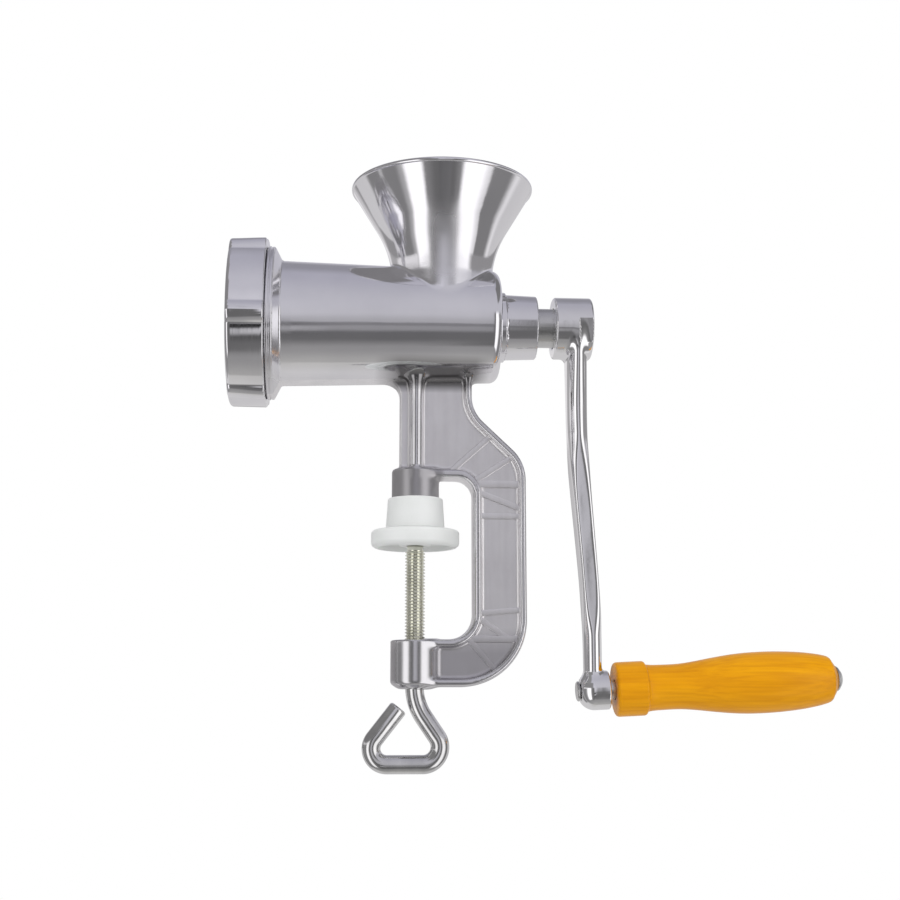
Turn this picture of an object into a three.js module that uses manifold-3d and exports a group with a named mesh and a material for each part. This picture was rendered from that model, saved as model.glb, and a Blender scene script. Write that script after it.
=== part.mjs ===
// Hand crank meat grinder of the table-clamp kind: barrel, hopper and C-frame in one aluminium casting.
// Millimetres, +Z up. The origin is the centre of the jaw cap's underside, where the table top touches.
// The clamp screw's axis is the Z axis. The barrel lies along X, its outlet at -X and the crank at +X.

import * as THREE from "three";
import { mergeVertices, toCreasedNormals } from "three/addons/utils/BufferGeometryUtils.js";
import Module from "manifold-3d";

const wasm = await Module();
wasm.setup();

// Fits
const gap = 0.3; // between faces that touch
const overrun = 1; // how far a cutting solid reaches past what it cuts
const bury = 1.5; // how far a rib or boss runs into the wall it grows from

// Faceting
const barrelSegments = 40;
const bossSegments = 24;
const pinSegments = 14;
const arcStep = Math.PI / 12;
const creaseAngle = Math.PI / 6;
const sliver = 0.004; // faces thinner than this, left by cuts, are merged away

// Barrel
const axisHeight = 82.8; // barrel axis above the table face
const mouthReach = 69.6; // mouth rim, from the clamp screw's axis
const rearReach = 33.2; // barrel's rear face, from the clamp screw's axis
const barrelFrontRadius = 25;
const barrelRearRadius = 22.6;
const rearRounding = 3.8;
const mouthThreadRadius = 30;
const mouthThreadLength = 10.6;
const mouthChamfer = 1;
const flangeRadius = 30.7;
const flangeWidth = 2.6;
const flangeCone = 2.7;
const boreFrontRadius = 21.6;
const boreRearRadius = 19.6;
const rearWall = 4.5;

// Neck and its collar
const collarRadius = 14.1;
const collarLength = 2.4;
const neckRadius = 13.2;
const neckEndRadius = 12.8;
const neckLength = 16;
const neckRounding = 0.8;

// Hopper
const hopperOffset = 10.4; // hopper axis, from the clamp screw's axis
const hopperHeight = 140.8; // lip, above the table face
const hopperNeckRadius = 20.2;
const hopperLipRadius = 36.9;
const hopperWall = 2.4;
const flareStart = 29.6; // where the cone would meet the neck, above the barrel axis
const flareRounding = 45;
const lipBand = 1.7;
const lipRounding = 0.7;

// Cutting set
const plateRadius = 27;
const plateThickness = 6;
const plateStandsProud = 1; // of the mouth rim
const plateCentreHole = 5.2;
const plateHoleRadius = 2.3;
const plateRings = [
  { share: 0.4, holes: 6 },
  { share: 0.6, holes: 11 },
  { share: 0.82, holes: 17 },
];
const plateHoleSides = 6;
const keyRadius = 1.7;
const keyReach = 2.2; // of the key into the plate's notch
const notchDepth = 2.7;
const knifeRadius = 23.4;
const knifeThickness = 6.3;
const knifeHubRadius = 9.6;
const knifeBladeWidth = 9;
const knifeBladeLean = 2.5;
const knifeBackShare = 0.45;
const knifeChamberRadius = 25;
const knifeChamberTaper = 3.2;
const knifeBlades = 4;
const studSquare = 8;
const studPinRadius = 4.9;
const studRootRadius = 4;
const studRootLength = 12;

// Ring nut
const ringRadius = 33.4;
const ringLength = 14.6;
const ringLip = 3;
const ringOpening = 25.2;
const ringFrontRounding = 1.8;
const ringBackRounding = 0.7;
const ringRibs = 6;
const ringRibHeight = 2;
const ringRibInset = 1.2;
const ringRibHalfAngle = 0.115;
const ringRibTurn = -0.13; // of the first rib, below the level of the axis
const ringRibShares = [-1, -0.5, 0, 0.5, 1]; // facet edges across a rib
const ringPlainFacets = 4; // facet edges between two ribs

// Auger
const coreFrontRadius = 8.6;
const coreRearRadius = 11;
const flightPitch = 23;
const flightTip = 2.4;
const flightRoot = 5;
const flightGap = 0.6;
const flightStepsPerTurn = 13;
const augerCollarRadius = 18.2;
const augerCollarLength = 3;
const thrustThickness = 1.5;
const thrustOuterRadius = 16.6;

// Drive shaft and neck bushing
const shaftRadius = 7.9;
const shaftShows = 6.1; // between the neck and the crank hub
const shaftIntoAuger = 16;
const shaftInHub = 6.8;
const shaftFlats = 12.6; // across the flats in the hub
const bushingWall = 1.8;
const bushingSetBack = 0.6; // from the neck's end

// Crank arm
const hubRadius = 12.5;
const hubLength = 15.4;
const hubRounding = 1;
const hubFloor = 3;
const hubSlabLength = 5.6;
const hubSlabDrop = 14;
const hubSlabFootShare = 0.66;
const crankRadius = 144.9; // barrel axis to grip axis
const armOffset = 9.3; // arm's centre line past the hub's inner face
const armStep = 4.8; // how far the arm's lower end stands out past its upper end
const armStepStartShare = 0.3;
const armStepEndShare = 0.88;
const armTopThickness = 8.4;
const armTopWidth = 15.5;
const armFootThickness = 6.8;
const armFootWidth = 9.5;
const armRoot = 20; // width of the arm where it leaves the hub
const armRootShare = 0.12;
const armStations = 15;
const armSides = 12;
const armSquareness = 3;
const knuckleRadius = 7.5;
const knuckleLength = 12.2;
const knuckleRounding = 6.5;
const knuckleSeat = 0.8; // depth of the flat under the spindle's peened end
const knuckleOffset = 14.2; // knuckle's centre past the hub's inner face

// Crank screw and washer
const screwRadius = 2.8;
const screwLength = 13;
const screwHeadRadius = 5.1;
const screwHeadHeight = 3;
const screwSlot = 1.2;
const screwSlotDepth = 1.5;
const washerRadius = 6.6;
const washerThickness = 1.2;
const screwHeadSink = 0.5; // of the head below the hub's end face

// Grip and its spindle
const gripTilt = THREE.MathUtils.degToRad(2.8); // free end up, square to the arm's lower end
const spindleRadius = 2.6;
const peenRadius = 3.9;
const peenHeight = 1;
const domeRadius = 5;
const domeHeight = 2.5;
const spacerRadius = 3.7;
const spacerLength = 2.8;
const gripStandoff = 2.3; // of the grip's face from the knuckle
const gripLength = 87.6;
const gripCollarRadius = 10.5;
const gripCollarLength = 12.4;
const gripNeckRadius = 8.7;
const gripBellyRadius = 11.9;
const gripBellyTaper = 0.5;
const gripEndRadius = 8.9;
const gripFaceRadius = 5.6; // flat ring under the dome
const gripFaceRise = 2.2;
const gripEndRounding = 0.6;
const gripMouthRounding = 0.9;
const gripNeckShares = [0.175, 0.3];
const gripSwellShares = [0.44, 0.52];
const gripBellyShares = [0.66, 0.8];
const gripSwellRises = [0.36, 0.72];
const gripSegments = 20;

// Clamp frame
const legLeft = 6.4; // leg's free edge, on the outlet's side of the screw axis
const legRight = 21.8; // outer face of the leg's rim
const legFlare = 5;
const webThickness = 8;
const frameDepth = 14;
const rimWidth = 2.5;
const legRibWidth = 5.2;
const legRibDepth = 18;
const shoulderDrop = 35.8; // bend under the leg, below the barrel axis
const shoulderLower = 56; // bend at the back's top, below the barrel axis
const backReach = 43.1; // outer face of the back
const throatReach = 22.8; // inner face of the back
const throatTop = 20.4; // under the upper arm, above the table face
const throatBottom = 43; // top of the lower arm, below the table face
const footDepth = 60.4; // underside of the lower arm, below the table face
const shoulderRounding = 12;
const backRounding = 10;
const footRounding = 25.5;
const throatTopRounding = 7;
const throatBottomRounding = 10;
const webRibHeight = 1;
const webRibWidth = 1.9;
const webRibShares = [
  { inner: 0.136, outer: 0.168, width: 1 },
  { inner: 0.214, outer: 0.246, width: 1 },
  { inner: 0.217, outer: 0.331, width: 1.4 },
  { inner: 0.244, outer: 0.382, width: 1 },
  { inner: 0.33, outer: 0.399, width: 1 },
  { inner: 0.723, outer: 0.62, width: 1 },
  { inner: 0.725, outer: 0.714, width: 1 },
  { inner: 0.814, outer: 0.7, width: 1.2 },
  { inner: 0.811, outer: 0.8, width: 1 },
];

// Clamp bosses, screw, cap and pad
const jawBossRadius = 9.3;
const jawBossTop = 23.7;
const screwBossRadius = 9.4;
const screwBossNose = 1.2;
const screwBossNoseRadius = 6.4;
const bossChamfer = 0.9;
const capHeight = 12.4;
const capTopRadius = 10.8;
const capFootRadius = 11.6;
const capFloor = 4;
const capRounding = 0.8;
const clampThreadRadius = 3.95;
const rodRadius = 3.6;
const threadStart = 7.6; // below the table face
const tipRadius = 3.1;
const tipSink = 0.5; // of the tip's end below the pad's face
const padRadius = 17.3;
const padThickness = 6.8;
const padRounding = 1.1;
const padRecess = 2.4;
const padRim = 2.6;
const padHubRadius = 6.4;
const padCounterbore = 2.3;
const retainerRadius = 5.6;
const retainerThickness = 0.8;

// Clamp screw's bent handle, its corners on the rod's centre line
const handleBendDrop = 67; // first bend, below the table face
const handleFoot = 90; // centre line of the handle's bar, below the table face
const handleRight = 15.8;
const handleLeft = 22.9;
const handleEndOffset = 6;
const handleEndDrop = 68.6;
const handleNeckRounding = 20;
const handleRightRounding = 6.6;
const handleLeftRounding = 6;
const handleSteps = 36;
const rodSides = 10;

// Places along X and Z that follow from the sizes above
const mouthX = -mouthReach;
const flangeX = mouthX + mouthThreadLength;
const coneEndX = flangeX + flangeWidth + flangeCone;
const plateFrontX = mouthX - plateStandsProud;
const plateBackX = plateFrontX + plateThickness;
const seatX = plateBackX + gap;
const knifeBackX = seatX + knifeThickness;
const augerFrontX = knifeBackX + gap;
const chamberEndX = augerFrontX + gap;
const boreRearX = rearReach - rearWall;
const thrustX = boreRearX - gap - thrustThickness;
const augerRearX = thrustX - gap;
const neckEndX = rearReach + neckLength;
const ringFrontX = plateFrontX - gap - ringLip;
const hubX = neckEndX + shaftShows;
const hubEndX = hubX + hubLength;
const shaftEndX = hubX + shaftInHub;
const hubFloorX = shaftEndX + gap;
const knuckleX = hubX + knuckleOffset;
const knuckleZ = axisHeight - crankRadius;
const hopperTopZ = hopperHeight;

// Materials, with the colours of the photograph
const castAluminium = metal(0xb9b8bf, 0.28, 1);
const chrome = metal(0xc9c9cc, 0.12, 1);
const steel = metal(0xb4b4b0, 0.3, 1);
const zincSteel = metal(0xaeab9c, 0.35, 1);
const nylon = metal(0xe3e4e0, 0.45, 0);
const varnishedWood = metal(0xe09a12, 0.3, 0);

function metal(color, roughness, metalness) {
  return new THREE.MeshStandardMaterial({ color, roughness, metalness });
}

// Solids: a closed geometry becomes a manifold solid, and joins and cuts give solids
function solidOf(geometry) {
  const bare = geometry.index ? geometry.toNonIndexed() : geometry.clone();
  bare.deleteAttribute("normal");
  bare.deleteAttribute("uv");
  const merged = mergeVertices(bare);
  const index = merged.index.array;
  const triangles = [];
  for (let i = 0; i < index.length; i += 3) {
    const [a, b, c] = [index[i], index[i + 1], index[i + 2]];
    if (a !== b && b !== c && c !== a) triangles.push(a, b, c);
  }
  const vertProperties = new Float32Array(merged.attributes.position.array);
  return new wasm.Manifold(
    new wasm.Mesh({ numProp: 3, vertProperties, triVerts: new Uint32Array(triangles) }),
  );
}

function join(...solids) {
  return solids.reduce((whole, next) => whole.add(next));
}

function cut(solid, ...tools) {
  return tools.reduce((left, tool) => left.subtract(tool), solid);
}

function geometryOf(solid) {
  const { vertProperties, triVerts } = solid.simplify(sliver).getMesh();
  const geometry = new THREE.BufferGeometry();
  geometry.setAttribute("position", new THREE.BufferAttribute(vertProperties, 3));
  geometry.setIndex(new THREE.BufferAttribute(triVerts, 1));
  return toCreasedNormals(geometry, creaseAngle);
}

function part(name, solid, material) {
  const mesh = new THREE.Mesh(geometryOf(solid), material);
  mesh.name = name;
  return mesh;
}

// A profile of [along, radius] pairs, turned about X at the height z
function turnedX(profile, segments, z = axisHeight) {
  const geometry = new THREE.LatheGeometry(
    profile.map(([along, radius]) => new THREE.Vector2(radius, along)),
    segments,
  );
  return solidOf(geometry.rotateZ(-Math.PI / 2).translate(0, 0, z));
}

// The same, turned about a vertical axis at x
function turnedZ(profile, segments, x = 0) {
  const geometry = new THREE.LatheGeometry(
    profile.map(([along, radius]) => new THREE.Vector2(radius, along)),
    segments,
  );
  return solidOf(geometry.rotateX(Math.PI / 2).translate(x, 0, 0));
}

function rodX(from, to, radius, segments, z = axisHeight) {
  return turnedX([[from, 0], [from, radius], [to, radius], [to, 0]], segments, z);
}

function rodZ(from, to, radius, segments, x = 0) {
  return turnedZ([[from, 0], [from, radius], [to, radius], [to, 0]], segments, x);
}

function box(low, high) {
  const size = high.map((value, i) => value - low[i]);
  const centre = high.map((value, i) => (value + low[i]) / 2);
  return solidOf(new THREE.BoxGeometry(...size).translate(...centre));
}

// A quarter round from one profile point to the next, in share steps of a right angle
function quarter(centreAlong, centreRadius, radius, fromAngle, toAngle, steps = 3) {
  return Array.from({ length: steps + 1 }, (_, i) => {
    const angle = fromAngle + ((toAngle - fromAngle) * i) / steps;
    return [centreAlong + radius * Math.cos(angle), centreRadius + radius * Math.sin(angle)];
  });
}

// A polyline whose corners {x, y, r} are rounded by arcs of radius r
function filleted(corners) {
  const points = [];
  corners.forEach(({ x, y, r }, i) => {
    if (!r) {
      points.push(new THREE.Vector2(x, y));
      return;
    }
    const here = new THREE.Vector2(x, y);
    const before = new THREE.Vector2(corners[i - 1].x, corners[i - 1].y).sub(here).normalize();
    const after = new THREE.Vector2(corners[i + 1].x, corners[i + 1].y).sub(here).normalize();
    const half = Math.acos(THREE.MathUtils.clamp(before.dot(after), -1, 1)) / 2;
    const centre = before.clone().add(after).normalize().multiplyScalar(r / Math.sin(half)).add(here);
    const start = before.clone().multiplyScalar(r / Math.tan(half)).add(here).sub(centre);
    const turn = (Math.PI - 2 * half) * Math.sign(after.cross(before));
    const steps = Math.max(2, Math.ceil(Math.abs(turn) / arcStep));
    for (let k = 0; k <= steps; k++) {
      points.push(start.clone().rotateAround(new THREE.Vector2(), (turn * k) / steps).add(centre));
    }
  });
  return points;
}

// The polyline moved sideways, to its left where the distance is positive
function offset(points, distance) {
  return points.map((point, i) => {
    const ahead = points[Math.min(i + 1, points.length - 1)].clone();
    const behind = points[Math.max(i - 1, 0)];
    const direction = ahead.sub(behind).normalize();
    return new THREE.Vector2(point.x - direction.y * distance, point.y + direction.x * distance);
  });
}

function pointAt(points, share) {
  const lengths = points.slice(1).map((point, i) => point.distanceTo(points[i]));
  let left = share * lengths.reduce((sum, length) => sum + length);
  for (let i = 0; i < lengths.length; i++) {
    if (left <= lengths[i]) return points[i].clone().lerp(points[i + 1], left / lengths[i]);
    left -= lengths[i];
  }
  return points[points.length - 1].clone();
}

// An outline in the XZ plane, as thick as depth and centred on Y = 0
function slab(outline, depth) {
  const geometry = new THREE.ExtrudeGeometry(new THREE.Shape(outline), {
    depth,
    bevelEnabled: false,
    curveSegments: 1,
  });
  return solidOf(geometry.translate(0, 0, -depth / 2).rotateX(Math.PI / 2));
}

// Rings of points, each turning right-handed about the way from one to the next, closed by fans
function loft(rings) {
  const count = rings[0].length;
  const points = rings.flat();
  const triangles = [];
  for (let i = 0; i + 1 < rings.length; i++) {
    for (let j = 0; j < count; j++) {
      const next = (j + 1) % count;
      const [a, b] = [i * count + j, i * count + next];
      triangles.push(a, b, b + count, a, b + count, a + count);
    }
  }
  const fan = (ring, base, flip) => {
    const middle = ring.reduce((sum, p) => sum.add(p), new THREE.Vector3()).divideScalar(count);
    const hub = points.push(middle) - 1;
    for (let j = 0; j < count; j++) {
      const [a, b] = [base + j, base + ((j + 1) % count)];
      triangles.push(hub, ...(flip ? [b, a] : [a, b]));
    }
  };
  fan(rings[0], 0, true);
  fan(rings[rings.length - 1], (rings.length - 1) * count, false);
  const geometry = new THREE.BufferGeometry().setFromPoints(points);
  geometry.setIndex(triangles);
  return solidOf(geometry);
}

// Body casting: barrel, neck, hopper, leg and C-frame in one piece
function barrelOutside() {
  return turnedX(
    [
      [mouthX, 0],
      [mouthX, mouthThreadRadius - mouthChamfer],
      [mouthX + mouthChamfer, mouthThreadRadius],
      [flangeX, mouthThreadRadius],
      [flangeX, flangeRadius],
      [flangeX + flangeWidth, flangeRadius],
      [coneEndX, barrelFrontRadius],
      [rearReach - rearRounding, barrelRearRadius],
      ...quarter(rearReach - rearRounding, barrelRearRadius - rearRounding, rearRounding, Math.PI / 2, 0).slice(1),
      [rearReach, collarRadius],
      [rearReach + collarLength, collarRadius],
      [rearReach + collarLength, neckRadius],
      [neckEndX - neckRounding, neckEndRadius],
      [neckEndX, neckEndRadius - neckRounding],
      [neckEndX, 0],
    ],
    barrelSegments,
  );
}

function barrelInside() {
  const neckBore = shaftRadius + gap + bushingWall + gap;
  return turnedX(
    [
      [mouthX - overrun, 0],
      [mouthX - overrun, plateRadius + gap],
      [seatX, plateRadius + gap],
      [seatX, knifeChamberRadius],
      [chamberEndX, knifeChamberRadius],
      [chamberEndX + knifeChamberTaper, boreFrontRadius],
      [boreRearX, boreRearRadius],
      [boreRearX, neckBore],
      [neckEndX + overrun, neckBore],
      [neckEndX + overrun, 0],
    ],
    barrelSegments,
  );
}

// The flare's [height, radius] profile, inset square to the wall
function flareProfile(inset, top) {
  const lip = hopperLipRadius - lipRounding;
  const line = offset(
    filleted([
      { x: axisHeight, y: hopperNeckRadius },
      { x: axisHeight + flareStart, y: hopperNeckRadius, r: flareRounding },
      { x: hopperTopZ - lipBand, y: lip },
    ]),
    -inset,
  );
  const last = line[line.length - 1];
  const before = line[line.length - 2];
  const slope = (last.y - before.y) / (last.x - before.x);
  line[line.length - 1] = new THREE.Vector2(top, last.y + (top - last.x) * slope);
  return line.map((point) => [point.x, point.y]);
}

function hopperOutside() {
  return turnedZ(
    [
      [axisHeight, 0],
      ...flareProfile(0, hopperTopZ - lipBand),
      [hopperTopZ - lipBand + lipRounding, hopperLipRadius],
      [hopperTopZ - lipRounding, hopperLipRadius],
      [hopperTopZ, hopperLipRadius - lipRounding],
      [hopperTopZ, 0],
    ],
    barrelSegments,
    hopperOffset,
  );
}

function hopperInside() {
  const wall = flareProfile(hopperWall, hopperTopZ + overrun);
  return turnedZ([[axisHeight, 0], ...wall, [hopperTopZ + overrun, 0]], barrelSegments, hopperOffset);
}

const outerEdge = filleted([
  { x: legRight, y: axisHeight - barrelRearRadius + bury },
  { x: legRight, y: axisHeight - shoulderDrop, r: shoulderRounding },
  { x: backReach, y: axisHeight - shoulderLower, r: backRounding },
  { x: backReach, y: -footDepth, r: footRounding },
  { x: 0, y: -footDepth },
]);
const throatEdge = filleted([
  { x: 0, y: throatTop },
  { x: throatReach, y: throatTop, r: throatTopRounding },
  { x: throatReach, y: -throatBottom, r: throatBottomRounding },
  { x: 0, y: -throatBottom },
]);

function web() {
  const top = axisHeight - barrelRearRadius + bury;
  const leftEdge = filleted([
    { x: -legLeft - legFlare - bury, y: top },
    { x: -legLeft, y: top, r: legFlare },
    { x: -legLeft, y: throatTop },
  ]);
  const inside = axisHeight - barrelRearRadius / 2;
  return slab(
    [
      ...leftEdge,
      ...throatEdge,
      ...[...outerEdge].reverse(),
      new THREE.Vector2(legRight, inside),
      new THREE.Vector2(-legLeft - legFlare - bury, inside),
    ],
    webThickness,
  );
}

function rims() {
  const outerBand = [...outerEdge, ...offset(outerEdge, -rimWidth).reverse()];
  const throatBand = [...throatEdge, ...offset(throatEdge, rimWidth).reverse()];
  return join(slab(outerBand, frameDepth), slab(throatBand, frameDepth));
}

function webRibs() {
  const bars = webRibShares.map(({ inner, outer, width }) => {
    const from = pointAt(throatEdge, inner);
    const to = pointAt(outerEdge, outer);
    const along = to.clone().sub(from).normalize();
    from.addScaledVector(along, rimWidth / 2);
    to.addScaledVector(along, -rimWidth / 2);
    const side = new THREE.Vector2(-along.y, along.x).multiplyScalar((webRibWidth * width) / 2);
    return slab(
      [from.clone().add(side), from.clone().sub(side), to.clone().sub(side), to.clone().add(side)],
      webThickness + 2 * webRibHeight,
    );
  });
  return join(...bars);
}

// The round-fronted rib on both sides of the leg, over the jaw boss
function legRib() {
  const radius = legRibWidth / 2;
  const reach = legRibDepth / 2 - radius;
  const length = axisHeight - barrelRearRadius + bury - throatTop;
  const section = new THREE.Shape();
  section.absarc(0, reach, radius, 0, Math.PI);
  section.absarc(0, -reach, radius, Math.PI, 2 * Math.PI);
  const geometry = new THREE.ExtrudeGeometry(section, {
    depth: length,
    bevelEnabled: false,
    curveSegments: bossSegments / 4,
  });
  return solidOf(geometry.translate(0, 0, throatTop));
}

function jawBoss() {
  return turnedZ(
    [
      [capFloor + gap, 0],
      [capFloor + gap, jawBossRadius - bossChamfer],
      [capFloor + gap + bossChamfer, jawBossRadius],
      [jawBossTop - bossChamfer, jawBossRadius],
      [jawBossTop, jawBossRadius - bossChamfer],
      [jawBossTop, 0],
    ],
    bossSegments,
  );
}

function screwBoss() {
  return turnedZ(
    [
      [-footDepth - screwBossNose, 0],
      [-footDepth - screwBossNose, screwBossNoseRadius],
      [-footDepth + bossChamfer, screwBossRadius],
      [-throatBottom - bossChamfer, screwBossRadius],
      [-throatBottom, screwBossRadius - bossChamfer],
      [-throatBottom, 0],
    ],
    bossSegments,
  );
}

function keyHole(clearance, from, to) {
  return rodZ(from, to, keyRadius + clearance, pinSegments, (plateFrontX + plateBackX) / 2 + plateStandsProud / 2);
}

function bodyCasting() {
  const outside = join(
    barrelOutside(),
    hopperOutside(),
    web(),
    rims(),
    webRibs(),
    legRib(),
    jawBoss(),
    screwBoss(),
  );
  const screwBore = rodZ(
    -footDepth - screwBossNose - overrun,
    -throatBottom + overrun,
    clampThreadRadius + gap,
    pinSegments,
  );
  const keyBore = keyHole(gap, axisHeight + knifeChamberRadius, axisHeight + mouthThreadRadius + overrun);
  return cut(outside, barrelInside(), hopperInside(), screwBore, keyBore);
}

// Ring nut: six round ribs across its face, and a lip that holds the plate
function ringOutline(x, radius, ribHeight) {
  const plainStep = ((2 * Math.PI) / ringRibs - 2 * ringRibHalfAngle) / (ringPlainFacets + 1);
  const plain = Array.from({ length: ringPlainFacets }, (_, i) => [ringRibHalfAngle + plainStep * (i + 1), 0]);
  const crown = ringRibShares.map((share) => [ringRibHalfAngle * share, Math.cos((share * Math.PI) / 2)]);
  const oneRib = [...crown, ...plain];
  return Array.from({ length: ringRibs }, (_, rib) =>
    oneRib.map(([fromRib, rise]) => {
      const angle = (2 * Math.PI * rib) / ringRibs + ringRibTurn + fromRib;
      const r = radius + ribHeight * rise;
      return new THREE.Vector3(x, -r * Math.cos(angle), axisHeight + r * Math.sin(angle));
    }),
  ).flat();
}

function ringNut() {
  const backX = ringFrontX + ringLength;
  const body = loft(
    [
      [backX, ringRadius - ringBackRounding, 0],
      [backX - ringBackRounding, ringRadius, 0],
      [backX - ringRibInset, ringRadius, ringRibHeight],
      [ringFrontX + ringFrontRounding + ringRibInset, ringRadius, ringRibHeight],
      [ringFrontX + ringFrontRounding, ringRadius, ringRibHeight / 3],
      [ringFrontX + ringFrontRounding / 3, ringRadius - ringFrontRounding / 3, 0],
      [ringFrontX, ringRadius - ringFrontRounding, 0],
    ].map((station) => ringOutline(...station)),
  );
  const bore = turnedX(
    [
      [ringFrontX - overrun, 0],
      [ringFrontX - overrun, ringOpening + ringFrontRounding],
      [ringFrontX, ringOpening + ringFrontRounding / 2],
      [ringFrontX + ringFrontRounding, ringOpening],
      [ringFrontX + ringLip, ringOpening],
      [ringFrontX + ringLip, mouthThreadRadius + gap],
      [backX + overrun, mouthThreadRadius + gap],
      [backX + overrun, 0],
    ],
    barrelSegments,
  );
  return cut(body, bore);
}

// Cutting plate with rings of holes, a centre hole for the pin and a notch for the key
function cuttingPlate() {
  const disc = new THREE.Shape().absarc(0, 0, plateRadius, 0, 2 * Math.PI);
  for (const { share, holes } of plateRings) {
    for (let i = 0; i < holes; i++) {
      const angle = (2 * Math.PI * (i + share)) / holes;
      const r = plateRadius * share;
      disc.holes.push(polygonHole(r * Math.cos(angle), r * Math.sin(angle), plateHoleRadius, plateHoleSides));
    }
  }
  disc.holes.push(polygonHole(0, 0, plateCentreHole, pinSegments));
  const geometry = new THREE.ExtrudeGeometry(disc, {
    depth: plateThickness,
    bevelEnabled: false,
    curveSegments: barrelSegments,
  });
  const plate = solidOf(geometry.rotateY(Math.PI / 2).translate(plateFrontX, 0, axisHeight));
  const notchHalf = keyRadius + gap;
  const notch = box(
    [plateFrontX - overrun, -notchHalf, axisHeight + plateRadius - notchDepth],
    [plateBackX + overrun, notchHalf, axisHeight + plateRadius + overrun],
  );
  return cut(plate, notch);
}

function polygonHole(x, y, radius, sides) {
  const corners = Array.from({ length: sides }, (_, i) => {
    const angle = (-2 * Math.PI * i) / sides;
    return new THREE.Vector2(x + radius * Math.cos(angle), y + radius * Math.sin(angle));
  });
  return new THREE.Path(corners);
}

function plateKey() {
  return keyHole(0, axisHeight + plateRadius - keyReach, axisHeight + mouthThreadRadius - gap);
}

// Knife: flat against the plate, each blade sloped off behind its cutting edge
function knife() {
  const hub = rodX(seatX, knifeBackX, knifeHubRadius, bossSegments);
  const blades = Array.from({ length: knifeBlades }, (_, i) => knifeBlade((2 * Math.PI * i) / knifeBlades));
  const half = studSquare / 2 + gap;
  const square = box(
    [seatX - overrun, -half, axisHeight - half],
    [knifeBackX + overrun, half, axisHeight + half],
  );
  return cut(join(hub, ...blades), square);
}

function knifeBlade(angle) {
  const half = knifeBladeWidth / 2;
  const section = (r, lean) => [
    new THREE.Vector3(seatX, half + lean, r),
    new THREE.Vector3(seatX, -half + lean, r),
    new THREE.Vector3(seatX + knifeThickness * knifeBackShare, -half + lean, r),
    new THREE.Vector3(knifeBackX, -half * knifeBackShare + lean, r),
    new THREE.Vector3(knifeBackX, half * knifeBackShare + lean, r),
  ];
  const blade = loft([section(knifeHubRadius / 2, 0), section(knifeRadius, knifeBladeLean)]);
  return blade.rotate([THREE.MathUtils.radToDeg(angle), 0, 0]).translate([0, 0, axisHeight]);
}

// Stud: square for the knife, round through the plate, its root cast into the auger
function knifeStud() {
  const half = studSquare / 2;
  const pin = rodX(plateFrontX, seatX, studPinRadius, pinSegments);
  const root = rodX(plateFrontX + overrun, augerFrontX + studRootLength, studRootRadius, pinSegments);
  const square = box([seatX, -half, axisHeight - half], [augerFrontX, half, axisHeight + half]);
  return join(pin, square, root);
}

// Auger: tapered core with a left-hand flight, so that turning the crank clockwise feeds the plate
function boreRadiusAt(x) {
  const share = (x - chamberEndX - knifeChamberTaper) / (boreRearX - chamberEndX - knifeChamberTaper);
  return THREE.MathUtils.lerp(boreFrontRadius, boreRearRadius, THREE.MathUtils.clamp(share, 0, 1));
}

function auger() {
  const core = turnedX(
    [
      [augerFrontX, 0],
      [augerFrontX, coreFrontRadius - bossChamfer],
      [augerFrontX + bossChamfer, coreFrontRadius],
      [augerRearX - augerCollarLength - bossChamfer, coreRearRadius],
      [augerRearX - augerCollarLength, augerCollarRadius - bossChamfer],
      [augerRearX - augerCollarLength + bossChamfer, augerCollarRadius],
      [augerRearX, augerCollarRadius],
      [augerRearX, 0],
    ],
    bossSegments,
  );
  const startX = augerFrontX + flightRoot / 2;
  const length = augerRearX - augerCollarLength - startX;
  const steps = Math.round((flightStepsPerTurn * length) / flightPitch);
  const rings = Array.from({ length: steps + 1 }, (_, i) => {
    const x = startX + (length * i) / steps;
    const angle = (-2 * Math.PI * (x - startX)) / flightPitch;
    const tip = boreRadiusAt(x) - flightGap;
    const root = coreFrontRadius - bury;
    return [
      [x - flightTip / 2, tip],
      [x + flightTip / 2, tip],
      [x + flightRoot / 2, root],
      [x - flightRoot / 2, root],
    ].map(([along, r]) => new THREE.Vector3(along, -r * Math.sin(angle), axisHeight + r * Math.cos(angle)));
  });
  const studHole = rodX(
    augerFrontX - overrun,
    augerFrontX + studRootLength + gap,
    studRootRadius + gap,
    pinSegments,
  );
  const shaftHole = rodX(augerRearX - shaftIntoAuger - gap, augerRearX + overrun, shaftRadius + gap, bossSegments);
  return cut(join(core, loft(rings)), studHole, shaftHole);
}

function thrustWasher() {
  return annulusX(thrustX, thrustX + thrustThickness, shaftRadius + gap, thrustOuterRadius);
}

function annulusX(from, to, inner, outer, segments = bossSegments) {
  return turnedX([[from, inner], [from, outer], [to, outer], [to, inner], [from, inner]], segments);
}

function neckBushing() {
  const inner = shaftRadius + gap;
  const outer = inner + bushingWall;
  return turnedX(
    [
      [boreRearX, inner],
      [boreRearX, outer],
      [neckEndX - bushingSetBack, outer],
      [neckEndX - bushingSetBack, inner],
      [boreRearX, inner],
    ],
    bossSegments,
  );
}

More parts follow.
